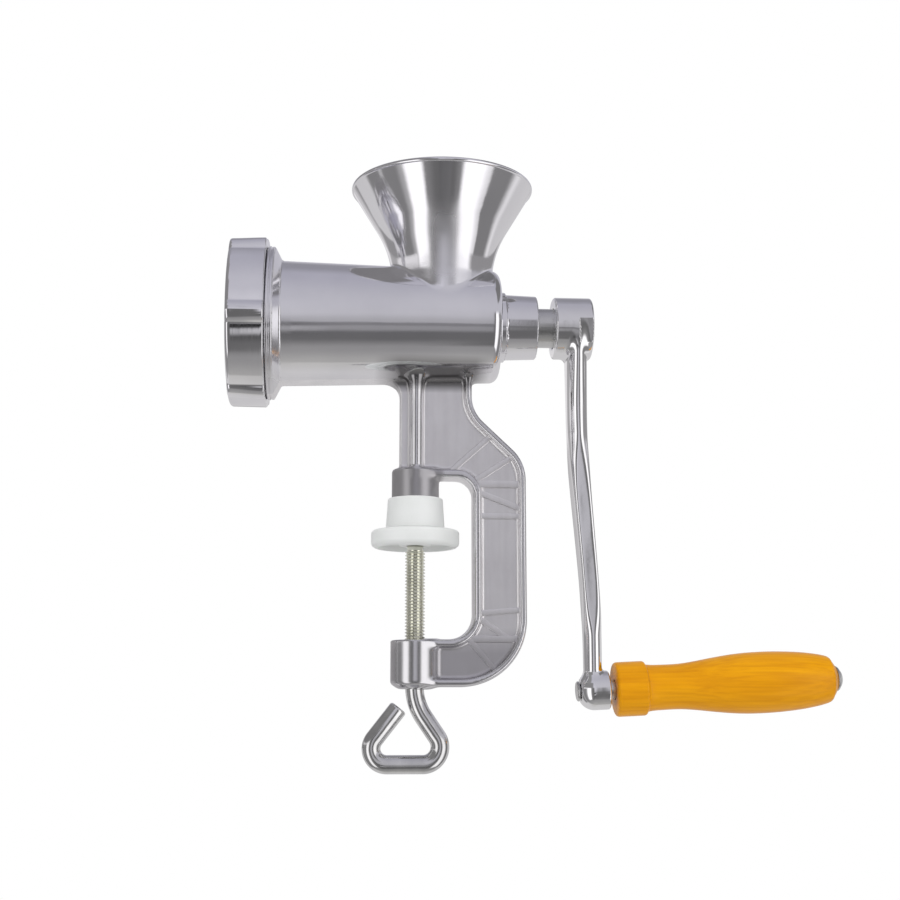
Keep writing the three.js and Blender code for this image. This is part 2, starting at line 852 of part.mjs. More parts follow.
// Drive shaft: round in the auger and the neck, with two flats in the crank's hub
function driveShaft() {
  const shaft = turnedX(
    [
      [augerRearX - shaftIntoAuger, 0],
      [augerRearX - shaftIntoAuger, shaftRadius],
      [shaftEndX - bossChamfer, shaftRadius],
      [shaftEndX, shaftRadius - bossChamfer],
      [shaftEndX, 0],
    ],
    bossSegments,
  );
  const flats = [-1, 1].map((side) => {
    const near = (side * shaftFlats) / 2;
    const far = side * (shaftRadius + overrun);
    return box(
      [hubX - gap, Math.min(near, far), axisHeight - shaftRadius - overrun],
      [shaftEndX + overrun, Math.max(near, far), axisHeight + shaftRadius + overrun],
    );
  });
  const tapped = rodX(screwTipX() - gap, shaftEndX + overrun, screwRadius + gap, pinSegments);
  return cut(shaft, ...flats, tapped);
}

function screwTipX() {
  return hubEndX - screwHeadSink - screwHeadHeight - screwLength;
}

// Crank arm: hub, arm and knuckle forged in one piece
function superellipse(centre, across, acrossHalf, width) {
  return Array.from({ length: armSides }, (_, i) => {
    const angle = (2 * Math.PI * i) / armSides;
    const [c, s] = [Math.cos(angle), Math.sin(angle)];
    const round = (value) => Math.sign(value) * Math.abs(value) ** (2 / armSquareness);
    return centre
      .clone()
      .addScaledVector(across, acrossHalf * round(c))
      .add(new THREE.Vector3(0, (width / 2) * round(s), 0));
  });
}

function armCentre(share) {
  const t = THREE.MathUtils.smoothstep(share, armStepStartShare, armStepEndShare);
  return new THREE.Vector3(hubX + armOffset + armStep * t, 0, axisHeight - crankRadius * share);
}

function arm() {
  const rings = Array.from({ length: armStations }, (_, i) => {
    const share = i / (armStations - 1);
    const ahead = armCentre(Math.min(share + 1 / armStations, 1));
    const way = ahead.sub(armCentre(Math.max(share - 1 / armStations, 0))).normalize();
    const across = new THREE.Vector3(way.z, 0, -way.x);
    const thickness = THREE.MathUtils.lerp(armTopThickness, armFootThickness, share);
    const root = 1 - THREE.MathUtils.smoothstep(share, 0, armRootShare * 2);
    const width = THREE.MathUtils.lerp(armTopWidth, armFootWidth, share) + (armRoot - armTopWidth) * root;
    return superellipse(armCentre(share), across, thickness / 2, width);
  });
  return loft(rings);
}

function hubSlab() {
  const half = hubRadius - hubRounding;
  const geometry = new THREE.ExtrudeGeometry(
    new THREE.Shape([
      new THREE.Vector2(-half * hubSlabFootShare, -hubSlabDrop),
      new THREE.Vector2(half * hubSlabFootShare, -hubSlabDrop),
      new THREE.Vector2(hubRadius, 0),
      new THREE.Vector2(-hubRadius, 0),
    ]),
    { depth: hubSlabLength, bevelEnabled: false },
  );
  geometry.rotateX(Math.PI / 2).rotateZ(Math.PI / 2);
  return solidOf(geometry.translate(hubEndX - hubRounding - hubSlabLength, 0, axisHeight));
}

// The knuckle is turned about the grip's tilted axis, so it is built at the origin and carried there
function atKnuckle(solid) {
  return solid.rotate([0, -THREE.MathUtils.radToDeg(gripTilt), 0]).translate([knuckleX, 0, knuckleZ]);
}

function crankArm() {
  const hub = turnedX(
    [
      [hubX, 0],
      [hubX, hubRadius - hubRounding],
      [hubX + hubRounding, hubRadius],
      [hubEndX - hubRounding, hubRadius],
      [hubEndX, hubRadius - hubRounding],
      [hubEndX, 0],
    ],
    bossSegments,
  );
  const half = knuckleLength / 2;
  const knuckle = atKnuckle(
    turnedX(
      [
        [-half, 0],
        ...quarter(-half + knuckleRounding, knuckleRadius - knuckleRounding, knuckleRounding, Math.PI, Math.PI / 2, 4),
        [half - hubRounding / 2, knuckleRadius],
        [half, knuckleRadius - hubRounding / 2],
        [half, 0],
      ],
      bossSegments,
      0,
    ),
  );
  const shaftBore = rodX(hubX - overrun, hubFloorX, shaftRadius + gap, bossSegments).intersect(
    box(
      [hubX - overrun * 2, -shaftFlats / 2 - gap, axisHeight - hubRadius],
      [hubFloorX + overrun, shaftFlats / 2 + gap, axisHeight + hubRadius],
    ),
  );
  const screwHole = rodX(hubX, hubEndX, screwRadius + gap, pinSegments);
  const counterbore = rodX(hubFloorX + hubFloor, hubEndX + overrun, washerRadius + gap, bossSegments);
  const spindleHole = atKnuckle(
    join(
      rodX(-half - overrun, half + overrun, spindleRadius + gap, pinSegments, 0),
      rodX(-half - overrun, -half + knuckleSeat, peenRadius + gap, bossSegments, 0),
    ),
  );
  return cut(join(hub, hubSlab(), arm(), knuckle), shaftBore, screwHole, counterbore, spindleHole);
}

function crankWasher() {
  const from = hubFloorX + hubFloor + gap;
  return annulusX(from, from + washerThickness, screwRadius + gap, washerRadius, pinSegments);
}

function crankScrew() {
  const headX = hubEndX - screwHeadSink - screwHeadHeight;
  const body = turnedX(
    [
      [screwTipX(), 0],
      [screwTipX(), screwRadius],
      [headX, screwRadius],
      [headX, screwHeadRadius],
      [headX + screwHeadHeight, screwHeadRadius],
      [headX + screwHeadHeight, 0],
    ],
    pinSegments,
  );
  const slot = box(
    [headX + screwHeadHeight - screwSlotDepth, -screwSlot / 2, axisHeight - screwHeadRadius - overrun],
    [headX + screwHeadHeight + overrun, screwSlot / 2, axisHeight + screwHeadRadius + overrun],
  );
  return cut(body, slot);
}

// Places along the grip's axis, from the knuckle's centre
const spacerStart = knuckleLength / 2 + gap;
const spacerEnd = spacerStart + spacerLength;
const gripStart = knuckleLength / 2 + gripStandoff;
const gripEnd = gripStart + gripLength;

function gripSpindle() {
  const peenStart = -knuckleLength / 2 + knuckleSeat - gap;
  const domeStart = gripEnd + gap;
  return atKnuckle(
    turnedX(
      [
        [peenStart - peenHeight, 0],
        [peenStart - peenHeight, peenRadius * 0.6],
        [peenStart - peenHeight * 0.7, peenRadius],
        [peenStart, peenRadius],
        [peenStart, spindleRadius],
        [domeStart, spindleRadius],
        [domeStart, domeRadius],
        ...quarter(domeStart, 0, 1, Math.PI / 2, 0, 4)
          .slice(1)
          .map(([along, r]) => [domeStart + (along - domeStart) * domeHeight, r * domeRadius]),
      ],
      pinSegments,
      0,
    ),
  );
}

function gripSpacer() {
  const inner = spindleRadius + gap;
  return atKnuckle(
    turnedX(
      [
        [spacerStart, inner],
        [spacerStart, spacerRadius],
        [spacerEnd, spacerRadius],
        [spacerEnd, inner],
        [spacerStart, inner],
      ],
      pinSegments,
      0,
    ),
  );
}

function grip() {
  const at = (share) => gripStart + gripLength * share;
  const swell = gripSwellShares.map((share, i) => [
    at(share),
    THREE.MathUtils.lerp(gripNeckRadius, gripBellyRadius, gripSwellRises[i]),
  ]);
  const inner = spindleRadius + gap;
  const recess = spacerRadius + gap;
  return atKnuckle(
    turnedX(
      [
        [spacerEnd + gap, inner],
        [spacerEnd + gap, recess],
        [gripStart, recess],
        ...quarter(
          gripStart + gripMouthRounding,
          gripCollarRadius - gripMouthRounding,
          gripMouthRounding,
          Math.PI,
          Math.PI / 2,
        ),
        [gripStart + gripCollarLength - gripMouthRounding, gripCollarRadius],
        [gripStart + gripCollarLength, (gripCollarRadius + gripNeckRadius) / 2],
        [at(gripNeckShares[0]), gripNeckRadius],
        [at(gripNeckShares[1]), gripNeckRadius],
        ...swell,
        [at(gripBellyShares[0]), gripBellyRadius],
        [at(gripBellyShares[1]), gripBellyRadius - gripBellyTaper],
        [gripEnd - gripFaceRise - gripEndRounding, gripEndRadius],
        [gripEnd - gripFaceRise, gripEndRadius - gripEndRounding],
        [gripEnd, gripFaceRadius],
        [gripEnd, inner],
        [spacerEnd + gap, inner],
      ],
      gripSegments,
      0,
    ),
  );
}

// Jaw cap over the boss, and the pad that swivels on the clamp screw's tip
function jawCap() {
  const socket = jawBossRadius + gap;
  return turnedZ(
    [
      [0, 0],
      [0, capFootRadius - capRounding],
      [capRounding, capFootRadius],
      [capHeight - capRounding / 2, capTopRadius],
      [capHeight, capTopRadius - capRounding / 2],
      [capHeight, socket],
      [capFloor, socket],
      [capFloor, 0],
    ],
    bossSegments,
  );
}

const padTop = -gap;
const padFoot = padTop - padThickness;
const retainerTop = padTop - tipSink;

function screwPad() {
  const bore = tipRadius + gap;
  const sink = retainerRadius + gap;
  return turnedZ(
    [
      [padFoot + padRecess / 3, bore],
      [padFoot + padRecess / 3, padHubRadius - padRounding],
      [padFoot + padRecess, padHubRadius],
      [padFoot + padRecess, padRadius - padRim - padRounding],
      [padFoot, padRadius - padRim],
      [padFoot, padRadius - padRounding],
      [padFoot + padRounding, padRadius],
      [padTop - padRounding, padRadius],
      [padTop, padRadius - padRounding],
      [padTop, sink],
      [padTop - padCounterbore, sink],
      [padTop - padCounterbore, bore],
      [padFoot + padRecess / 3, bore],
    ],
    bossSegments,
  );
}

function padRetainer() {
  const low = padTop - padCounterbore + gap;
  return turnedZ(
    [
      [low, tipRadius + gap],
      [low, retainerRadius],
      [low + retainerThickness, retainerRadius],
      [low + retainerThickness, tipRadius + gap],
      [low, tipRadius + gap],
    ],
    pinSegments,
  );
}

// Clamp screw: threaded rod whose lower end is bent into a triangular loop handle
function handlePath() {
  const corners = filleted([
    { x: 0, y: -footDepth },
    { x: 0, y: -handleBendDrop, r: handleNeckRounding },
    { x: handleRight, y: -handleFoot, r: handleRightRounding },
    { x: -handleLeft, y: -handleFoot, r: handleLeftRounding },
    { x: -handleEndOffset, y: -handleEndDrop },
  ]);
  const path = new THREE.CurvePath();
  for (let i = 0; i + 1 < corners.length; i++) {
    const [from, to] = [corners[i], corners[i + 1]];
    if (from.distanceTo(to) > 0) {
      path.add(new THREE.LineCurve3(new THREE.Vector3(from.x, 0, from.y), new THREE.Vector3(to.x, 0, to.y)));
    }
  }
  return path;
}

function clampScrew() {
  const shank = turnedZ(
    [
      [-footDepth - overrun, 0],
      [-footDepth - overrun, rodRadius],
      [-footDepth + overrun, rodRadius],
      [-footDepth + overrun + (clampThreadRadius - rodRadius), clampThreadRadius],
      [-threadStart - bossChamfer, clampThreadRadius],
      [-threadStart, tipRadius],
      [retainerTop, tipRadius],
      [retainerTop, 0],
    ],
    pinSegments,
  );
  const section = new THREE.Shape(
    Array.from({ length: rodSides }, (_, i) => {
      const angle = (2 * Math.PI * i) / rodSides;
      return new THREE.Vector2(rodRadius * Math.cos(angle), rodRadius * Math.sin(angle));
    }),
  );
  const handle = new THREE.ExtrudeGeometry(section, {
    steps: handleSteps,
    extrudePath: handlePath(),
    bevelEnabled: false,
  });
  return join(shank, solidOf(handle));
}

// Assembly: one group for each set of pieces that moves together
function groupOf(...meshes) {
  const group = new THREE.Group();
  group.add(...meshes);
  return group;
}

const fixedPieces = groupOf(
  part("body_casting", bodyCasting(), castAluminium),
  part("jaw_cap", jawCap(), nylon),
  part("plate_key", plateKey(), steel),
  part("neck_bushing", neckBushing(), nylon),
  part("thrust_washer", thrustWasher(), nylon),
);

const outlet = groupOf(
  part("ring_nut", ringNut(), castAluminium),
  part("cutting_plate", cuttingPlate(), steel),
);

const rotor = groupOf(
  part("auger", auger(), castAluminium),
  part("knife_stud", knifeStud(), steel),
  part("knife", knife(), steel),
  part("drive_shaft", driveShaft(), steel),
  part("crank_arm", crankArm(), chrome),
  part("crank_washer", crankWasher(), steel),
  part("crank_screw", crankScrew(), steel),
  part("grip_spindle", gripSpindle(), steel),
  part("grip_spacer", gripSpacer(), steel),
  part("grip", grip(), varnishedWood),
);

const clamp = groupOf(
  part("clamp_screw", clampScrew(), zincSteel),
  part("pad_retainer", padRetainer(), steel),
  part("screw_pad", screwPad(), nylon),
);

export default groupOf(fixedPieces, outlet, rotor, clamp);
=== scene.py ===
# Looks of the hand crank meat grinder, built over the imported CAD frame.
# Lengths are written in millimetres in the part's own frame and turned into metres in the meshes.

import math

import bmesh
import bpy
import numpy as np
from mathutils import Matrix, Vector


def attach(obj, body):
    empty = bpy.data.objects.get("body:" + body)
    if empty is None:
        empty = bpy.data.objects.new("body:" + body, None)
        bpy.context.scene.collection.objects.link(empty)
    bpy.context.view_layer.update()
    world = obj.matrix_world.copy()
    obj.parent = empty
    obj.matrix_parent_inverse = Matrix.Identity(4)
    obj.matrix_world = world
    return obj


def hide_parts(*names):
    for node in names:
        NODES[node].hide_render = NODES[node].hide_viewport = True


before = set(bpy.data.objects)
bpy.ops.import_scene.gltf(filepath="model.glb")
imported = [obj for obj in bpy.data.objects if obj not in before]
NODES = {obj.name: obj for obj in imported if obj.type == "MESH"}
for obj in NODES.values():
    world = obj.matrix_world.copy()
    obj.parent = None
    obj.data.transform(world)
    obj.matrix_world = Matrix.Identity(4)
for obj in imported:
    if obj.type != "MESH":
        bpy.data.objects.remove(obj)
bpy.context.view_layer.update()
MM = 0.001
# the barrel's axis and the hopper's, and where the grip's axis starts and how far it is tilted
AXIS = 82.8
HOPPER_X = 10.4
TILT = math.radians(2.8)
KNUCKLE = np.array((69.5, 0.0, -62.1))

scene = bpy.context.scene
scene.view_settings.view_transform = "Standard"


# Camera: a little below the barrel, looking up and slightly to the right
def make_camera():
    data = bpy.data.cameras.new("camera")
    data.lens = 56.64
    data.sensor_width = 36.0
    data.clip_end = 50.0
    camera = bpy.data.objects.new("camera", data)
    scene.collection.objects.link(camera)
    camera.location = (-0.02496, -0.553, -0.0675)
    pitch, yaw = math.radians(10.2), math.radians(4.0)
    forward = Vector(
        (math.sin(yaw) * math.cos(pitch), math.cos(yaw) * math.cos(pitch), math.sin(pitch))
    )
    camera.rotation_euler = forward.to_track_quat("-Z", "Y").to_euler()
    scene.camera = camera


make_camera()


def feed(tree, value, socket):
    """Links a socket, or sets a value."""
    if isinstance(value, bpy.types.NodeSocket):
        tree.links.new(value, socket)
    else:
        socket.default_value = value


# Node materials
class Nodes:
    """A material's node tree, with short calls for the nodes that the materials share."""

    def __init__(self, name):
        self.material = bpy.data.materials.new(name)
        self.material.use_nodes = True
        self.tree = self.material.node_tree
        self.shader = self.tree.nodes["Principled BSDF"]
        self.coords = self.tree.nodes.new("ShaderNodeTexCoord")

    def add(self, kind, **inputs):
        node = self.tree.nodes.new(kind)
        for key, value in inputs.items():
            self.put(node, key, value)
        return node

    def put(self, node, key, value):
        socket = node.inputs[int(key[1:])] if key[0] == "i" and key[1:].isdigit() else node.inputs[key]
        feed(self.tree, value, socket)

    def scaled(self, scale):
        node = self.add("ShaderNodeMapping", Vector=self.coords.outputs["Object"])
        node.inputs["Scale"].default_value = scale
        return node.outputs["Vector"]

    def noise(self, scale, detail=3.0, stretch=(1, 1, 1), roughness=0.5, distortion=0.0):
        node = self.add("ShaderNodeTexNoise", Vector=self.scaled(stretch))
        node.inputs["Scale"].default_value = scale
        node.inputs["Detail"].default_value = detail
        node.inputs["Roughness"].default_value = roughness
        node.inputs["Distortion"].default_value = distortion
        return node.outputs["Fac"]

    def ramp(self, value, low, high, to_low=0.0, to_high=1.0):
        node = self.add("ShaderNodeMapRange", Value=value)
        for key, number in zip(
            ("From Min", "From Max", "To Min", "To Max"), (low, high, to_low, to_high)
        ):
            node.inputs[key].default_value = number
        return node.outputs["Result"]

    def math(self, operation, a, b=0.0):
        node = self.add("ShaderNodeMath", i0=a, i1=b)
        node.operation = operation
        return node.outputs[0]

    def colours(self, value, stops):
        node = self.add("ShaderNodeValToRGB", Fac=value)
        ramp = node.color_ramp
        while len(ramp.elements) < len(stops):
            ramp.elements.new(0.5)
        for element, (place, colour) in zip(ramp.elements, stops):
            element.position = place
            element.color = (*colour, 1.0)
        return node.outputs["Color"]

    def mix(self, factor, a, b):
        node = self.tree.nodes.new("ShaderNodeMix")
        node.data_type = "RGBA"
        for index, value in ((0, factor), (6, a), (7, b)):
            feed(self.tree, (*value, 1.0) if isinstance(value, tuple) else value, node.inputs[index])
        return node.outputs[2]

    def bumps(self, *layers):
        normal = None
        for height, strength, distance in layers:
            node = self.add("ShaderNodeBump", Height=height)
            node.inputs["Strength"].default_value = strength
            node.inputs["Distance"].default_value = distance
            if normal is not None:
                self.put(node, "Normal", normal)
            normal = node.outputs["Normal"]
        self.put(self.shader, "Normal", normal)

    def set(self, **values):
        for key, value in values.items():
            self.put(self.shader, key.replace("_", " "), value)
        return self.material

    def place(self, *bounds):
        """1 inside all bounds, 0 outside. A bound is a coordinate, where it is empty and where full."""
        inside = 1.0
        for coordinate, empty, full in bounds:
            inside = self.math("MULTIPLY", self.ramp(coordinate, empty, full), inside)
        return inside

    def position(self, axis):
        node = self.add("ShaderNodeSeparateXYZ", Vector=self.coords.outputs["Object"])
        return node.outputs[axis]


def polished_aluminium():
    """Bright on the barrel and hopper, as cast and half polished on the clamp frame, with painted shade on
    the jaw boss, the lower web recess and the barrel's underside at the web.
    """
    m = Nodes("polished_aluminium")
    cloud = m.noise(38.0, 4.0)
    lines = m.noise(300.0, 3.0, (0.12, 1.0, 1.0))
    wave = m.noise(45.0, 2.0, (0.5, 1.0, 1.0))
    pits = m.noise(1500.0, 2.0)
    patches = m.noise(110.0, 5.0, (1.0, 1.0, 0.45), 0.65)
    streaks = m.noise(420.0, 3.0, (1.0, 1.0, 0.06))
    x, y, z = (m.position(axis) for axis in range(3))
    side = m.math("ABSOLUTE", y)
    aside = m.math("ABSOLUTE", m.math("SUBTRACT", x, HOPPER_X * MM))
    clamp = m.place((z, 0.0605, 0.0565))
    recess = m.place((side, 0.0058, 0.0052), (z, 0.062, 0.058))
    # painted shade and painted dark reflection: root darkens the barrel's underside where the web and stem
    # meet it
    root = m.place((z, 0.067, 0.0635), (z, 0.0545, 0.0575), (x, -0.017, -0.007), (x, 0.029, 0.023))
    # painted shade: boss colours the jaw boss a darker grey
    boss = m.place((z, 0.0245, 0.0225), (z, 0.0, 0.004), (x, 0.0115, 0.0095))
    # painted shade: darker grey in the web's recess along the bottom of the frame, between the rims
    shaded_low_recess = m.place((z, -0.038, -0.048), (side, 0.0058, 0.0052))
    lower_boss = m.place((z, -0.072, -0.076), (x, 0.0115, 0.0095))
    ends = m.math("ADD", m.place((x, -0.0485, -0.0495)), m.place((x, 0.0465, 0.0475)))
    bare = m.place((aside, 0.010, 0.003), (y, -0.006, -0.012), (z, 0.093, 0.099), (z, 0.129, 0.120))
    tint = m.colours(cloud, [(0.3, (0.83, 0.825, 0.85)), (0.7, (0.91, 0.905, 0.925))])
    worn = m.colours(cloud, [(0.3, (0.70, 0.695, 0.71)), (0.7, (0.80, 0.795, 0.81))])
    dull = m.colours(patches, [(0.32, (0.90, 0.885, 0.89)), (0.68, (1.0, 0.99, 0.995))])
    dull = m.mix(m.ramp(streaks, 0.4, 0.7, 0.0, 0.25), dull, (0.76, 0.745, 0.76))
    skin = m.mix(clamp, tint, worn)
    skin = m.mix(recess, skin, dull)
    # painted shade: darker greys over the lower web recess, the jaw boss and the barrel's underside at the
    # web
    painted_shades = (
        (shaded_low_recess, 0.75, (0.50, 0.49, 0.51)),
        (boss, 0.75, (0.42, 0.41, 0.42)),
        (root, 0.8, (0.16, 0.155, 0.155)),
    )
    for place, share, colour in painted_shades:
        skin = m.mix(m.math("MULTIPLY", place, share), skin, colour)
    rough = m.ramp(cloud, 0.3, 0.7, 0.05, 0.1)
    duller = ((clamp, 0.13), (recess, 0.16), (boss, 0.16), (lower_boss, 0.1), (ends, 0.07), (bare, 0.24))
    for place, more in duller:
        rough = m.math("ADD", rough, m.math("MULTIPLY", place, more))
    m.bumps((wave, 0.06, 0.002), (lines, 0.05, 0.0003), (pits, 0.02, 0.0002))
    return m.set(Metallic=1.0, Base_Color=skin, Roughness=rough)


def ring_aluminium():
    m = Nodes("turned_aluminium")
    cloud = m.noise(60.0, 3.0)
    wave = m.noise(70.0, 2.0)
    turning = m.noise(900.0, 2.0, (1.0, 0.04, 0.04))
    m.bumps((wave, 0.06, 0.001), (turning, 0.05, 0.0002))
    return m.set(
        Metallic=1.0,
        Base_Color=m.colours(cloud, [(0.3, (0.84, 0.835, 0.855)), (0.7, (0.92, 0.915, 0.93))]),
        Roughness=m.ramp(cloud, 0.3, 0.7, 0.05, 0.1),
    )


def chrome():
    m = Nodes("bright_chrome")
    cloud = m.noise(50.0, 3.0)
    wave = m.noise(60.0, 2.0, (1.0, 1.0, 0.35))
    fine = m.noise(240.0, 2.0)
    m.bumps((wave, 0.22, 0.0016), (fine, 0.05, 0.0004))
    return m.set(
        Metallic=1.0,
        Base_Color=m.colours(cloud, [(0.3, (0.86, 0.855, 0.86)), (0.7, (0.93, 0.93, 0.935))]),
        Roughness=m.ramp(cloud, 0.3, 0.7, 0.04, 0.1),
    )


def plain_steel(name, colour, rough, turning=(0.05, 1.0, 1.0)):
    m = Nodes(name)
    cloud = m.noise(90.0, 4.0)
    marks = m.noise(1400.0, 2.0, turning)
    darker = tuple(c * 0.82 for c in colour)
    m.bumps((marks, 0.1, 0.0002))
    return m.set(
        Metallic=1.0,
        Base_Color=m.colours(cloud, [(0.3, darker), (0.7, colour)]),
        Roughness=m.ramp(cloud, 0.3, 0.7, rough * 0.8, rough * 1.25),
    )


def zinc():
    m = Nodes("zinc_plating")
    cloud = m.noise(120.0, 4.0)
    spots = m.noise(420.0, 3.0)
    wave = m.noise(110.0, 2.0)
    threaded = m.ramp(m.position("Z"), -0.062, -0.058)
    bright = m.colours(cloud, [(0.3, (0.62, 0.62, 0.62)), (0.7, (0.82, 0.82, 0.81))])
    warm = m.colours(cloud, [(0.3, (0.83, 0.83, 0.73)), (0.7, (1.0, 1.0, 0.90))])
    m.bumps((wave, 0.1, 0.001), (spots, 0.04, 0.0003))
    return m.set(
        Metallic=1.0,
        Base_Color=m.mix(threaded, bright, warm),
        Roughness=m.ramp(spots, 0.3, 0.7, 0.08, 0.16),
    )


def nylon():
    m = Nodes("white_nylon")
    cloud = m.noise(60.0, 3.0)
    grain = m.noise(900.0, 3.0)
    m.bumps((grain, 0.08, 0.0003))
    m.set(
        Base_Color=m.colours(cloud, [(0.3, (0.74, 0.755, 0.74)), (0.7, (0.80, 0.81, 0.80))]),
        Roughness=m.ramp(cloud, 0.3, 0.7, 0.38, 0.5),
    )
    return m.set(
        Subsurface_Weight=0.35,
        Subsurface_Radius=(0.9, 0.95, 0.9),
        Subsurface_Scale=0.002,
    )


def varnished_wood():
    m = Nodes("varnished_wood")
    grain = m.noise(95.0, 6.0, (0.09, 1.0, 1.0), 0.6, 0.4)
    fibres = m.noise(900.0, 3.0, (0.035, 1.0, 1.0))
    cloud = m.noise(26.0, 2.0, (0.5, 1.0, 1.0))
    amber = m.colours(
        grain,
        [(0.28, (0.60, 0.235, 0.0)), (0.5, (0.77, 0.325, 0.0)), (0.72, (0.87, 0.40, 0.001))],
    )
    streak = m.mix(m.ramp(fibres, 0.42, 0.7, 0.0, 0.45), amber, (0.55, 0.19, 0.0))
    shade = m.mix(m.ramp(cloud, 0.35, 0.7, 0.0, 0.25), streak, (0.66, 0.25, 0.0))
    m.bumps((fibres, 0.05, 0.0003))
    return m.set(
        Base_Color=shade,
        Roughness=m.ramp(grain, 0.3, 0.7, 0.26, 0.36),
        Specular_IOR_Level=0.16,
        Coat_Weight=0.09,
        Coat_Roughness=0.08,
        Coat_IOR=1.45,
    )


FINISHES = {
    "casting": (polished_aluminium(), "cast_aluminium"),
    "ring": (ring_aluminium(), "cast_aluminium"),
    "chrome": (chrome(), "chromed_steel"),
    "steel": (plain_steel("turned_steel", (0.72, 0.72, 0.71), 0.2), "steel"),
    "cast_grey": (plain_steel("cast_auger", (0.62, 0.62, 0.63), 0.34, (1.0, 1.0, 1.0)), "cast_aluminium"),
    "zinc": (zinc(), "zinc_plated_steel"),
    "nylon": (nylon(), "white_nylon"),
    "wood": (varnished_wood(), "varnished_wood"),
}


# Meshes
def grid_piece(name, points, quads, finish, body, replaced=(), normals=None, smooth_angle=None):
    """A riding mesh from arrays of points in millimetres and quads."""
    mesh = bpy.data.meshes.new(name)
    points = (np.asarray(points) * MM).astype(np.float32)
    quads = np.asarray(quads, dtype=np.int32)
    mesh.vertices.add(len(points))
    mesh.vertices.foreach_set("co", points.ravel())
    mesh.loops.add(quads.size)
    mesh.loops.foreach_set("vertex_index", quads.ravel())
    mesh.polygons.add(len(quads))
    mesh.polygons.foreach_set("loop_start", np.arange(0, quads.size, 4, dtype=np.int32))
    mesh.polygons.foreach_set("loop_total", np.full(len(quads), 4, dtype=np.int32))
    mesh.update(calc_edges=True)
    mesh.validate()
    return finish_piece(name, mesh, finish, body, replaced, normals, smooth_angle)


def finish_piece(name, mesh, finish, body, replaced, normals, smooth_angle):
    mesh.polygons.foreach_set("use_smooth", np.ones(len(mesh.polygons), dtype=bool))
    if normals is not None:
        mesh.normals_split_custom_set_from_vertices(np.asarray(normals).tolist())
    if smooth_angle is not None:
        mesh.set_sharp_from_angle(angle=math.radians(smooth_angle))
    material, slot = FINISHES[finish]
    mesh.materials.append(material)
    made = bpy.data.objects.new(name, mesh)
    scene.collection.objects.link(made)
    if replaced:
        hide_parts(*replaced)
    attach(made, body)
    return made


def fillet(corners, i):
    """The arc at a corner (x, y, r): centre, first and last point, half the corner's angle, turn."""
    x, y, r = corners[i]
    here = np.array((x, y), dtype=float)
    before = np.array(corners[i - 1][:2], dtype=float) - here
    after = np.array(corners[(i + 1) % len(corners)][:2], dtype=float) - here
    before /= np.linalg.norm(before)
    after /= np.linalg.norm(after)
    half = math.acos(max(-1.0, min(1.0, float(before @ after)))) / 2
    bisector = (before + after) / np.linalg.norm(before + after)
    centre = here + bisector * r / math.sin(half)
    first, last = here + before * r / math.tan(half), here + after * r / math.tan(half)
    return centre, first, last, half, after[0] * before[1] - after[1] * before[0]


def rounded(corners, step=6.0):
    """A polyline whose corners (x, y, r) are arcs of radius r, as an array of points."""
    points = []
    for i, (x, y, r) in enumerate(corners):
        if r <= 0:
            points.append(np.array((x, y), dtype=float))
            continue
        centre, first, _, half, turn = fillet(corners, i)
        across, up = first - centre
        sweep = math.pi - 2 * half
        count = max(2, math.ceil(math.degrees(sweep) / step))
        for k in range(count + 1):
            a = math.copysign(sweep, turn) * k / count
            c, s = math.cos(a), math.sin(a)
            points.append(centre + np.array((across * c - up * s, across * s + up * c)))
    return np.array(points)


def lattice(rows, segments, closed=False):
    """Quads between rows of points that each go around once, closed: also from the last to the first."""
    spans = rows if closed else rows - 1
    i = np.repeat(np.arange(spans), segments)
    j = np.tile(np.arange(segments), spans)
    k = (j + 1) % segments
    n = (i + 1) % rows
    return np.stack([i * segments + j, i * segments + k, n * segments + k, n * segments + j], 1)


def turned(profile, segments=128, closed=False):
    """Points and quads of a profile of (along, radius) turned about the X axis."""
    profile = np.asarray(profile, dtype=float)
    angles = np.linspace(0, 2 * math.pi, segments, endpoint=False)
    along = np.repeat(profile[:, 0], segments)
    radius = np.repeat(np.maximum(profile[:, 1], 1e-4), segments)
    around = np.tile(angles, len(profile))
    points = np.stack([along, -radius * np.cos(around), radius * np.sin(around)], 1)
    return points, lattice(len(profile), segments, closed)


def along_x(points, z=AXIS):
    return points + np.array((0, 0, z))


def along_z(points, x=0.0):
    """Turns points of an X-turned shape so that along becomes Z."""
    return np.stack([points[:, 1] + x, points[:, 2], points[:, 0]], 1)


def at_knuckle(points):
    c, s = math.cos(TILT), math.sin(TILT)
    x, y, z = points.T
    return np.stack([x * c - z * s, y, x * s + z * c], 1) + KNUCKLE


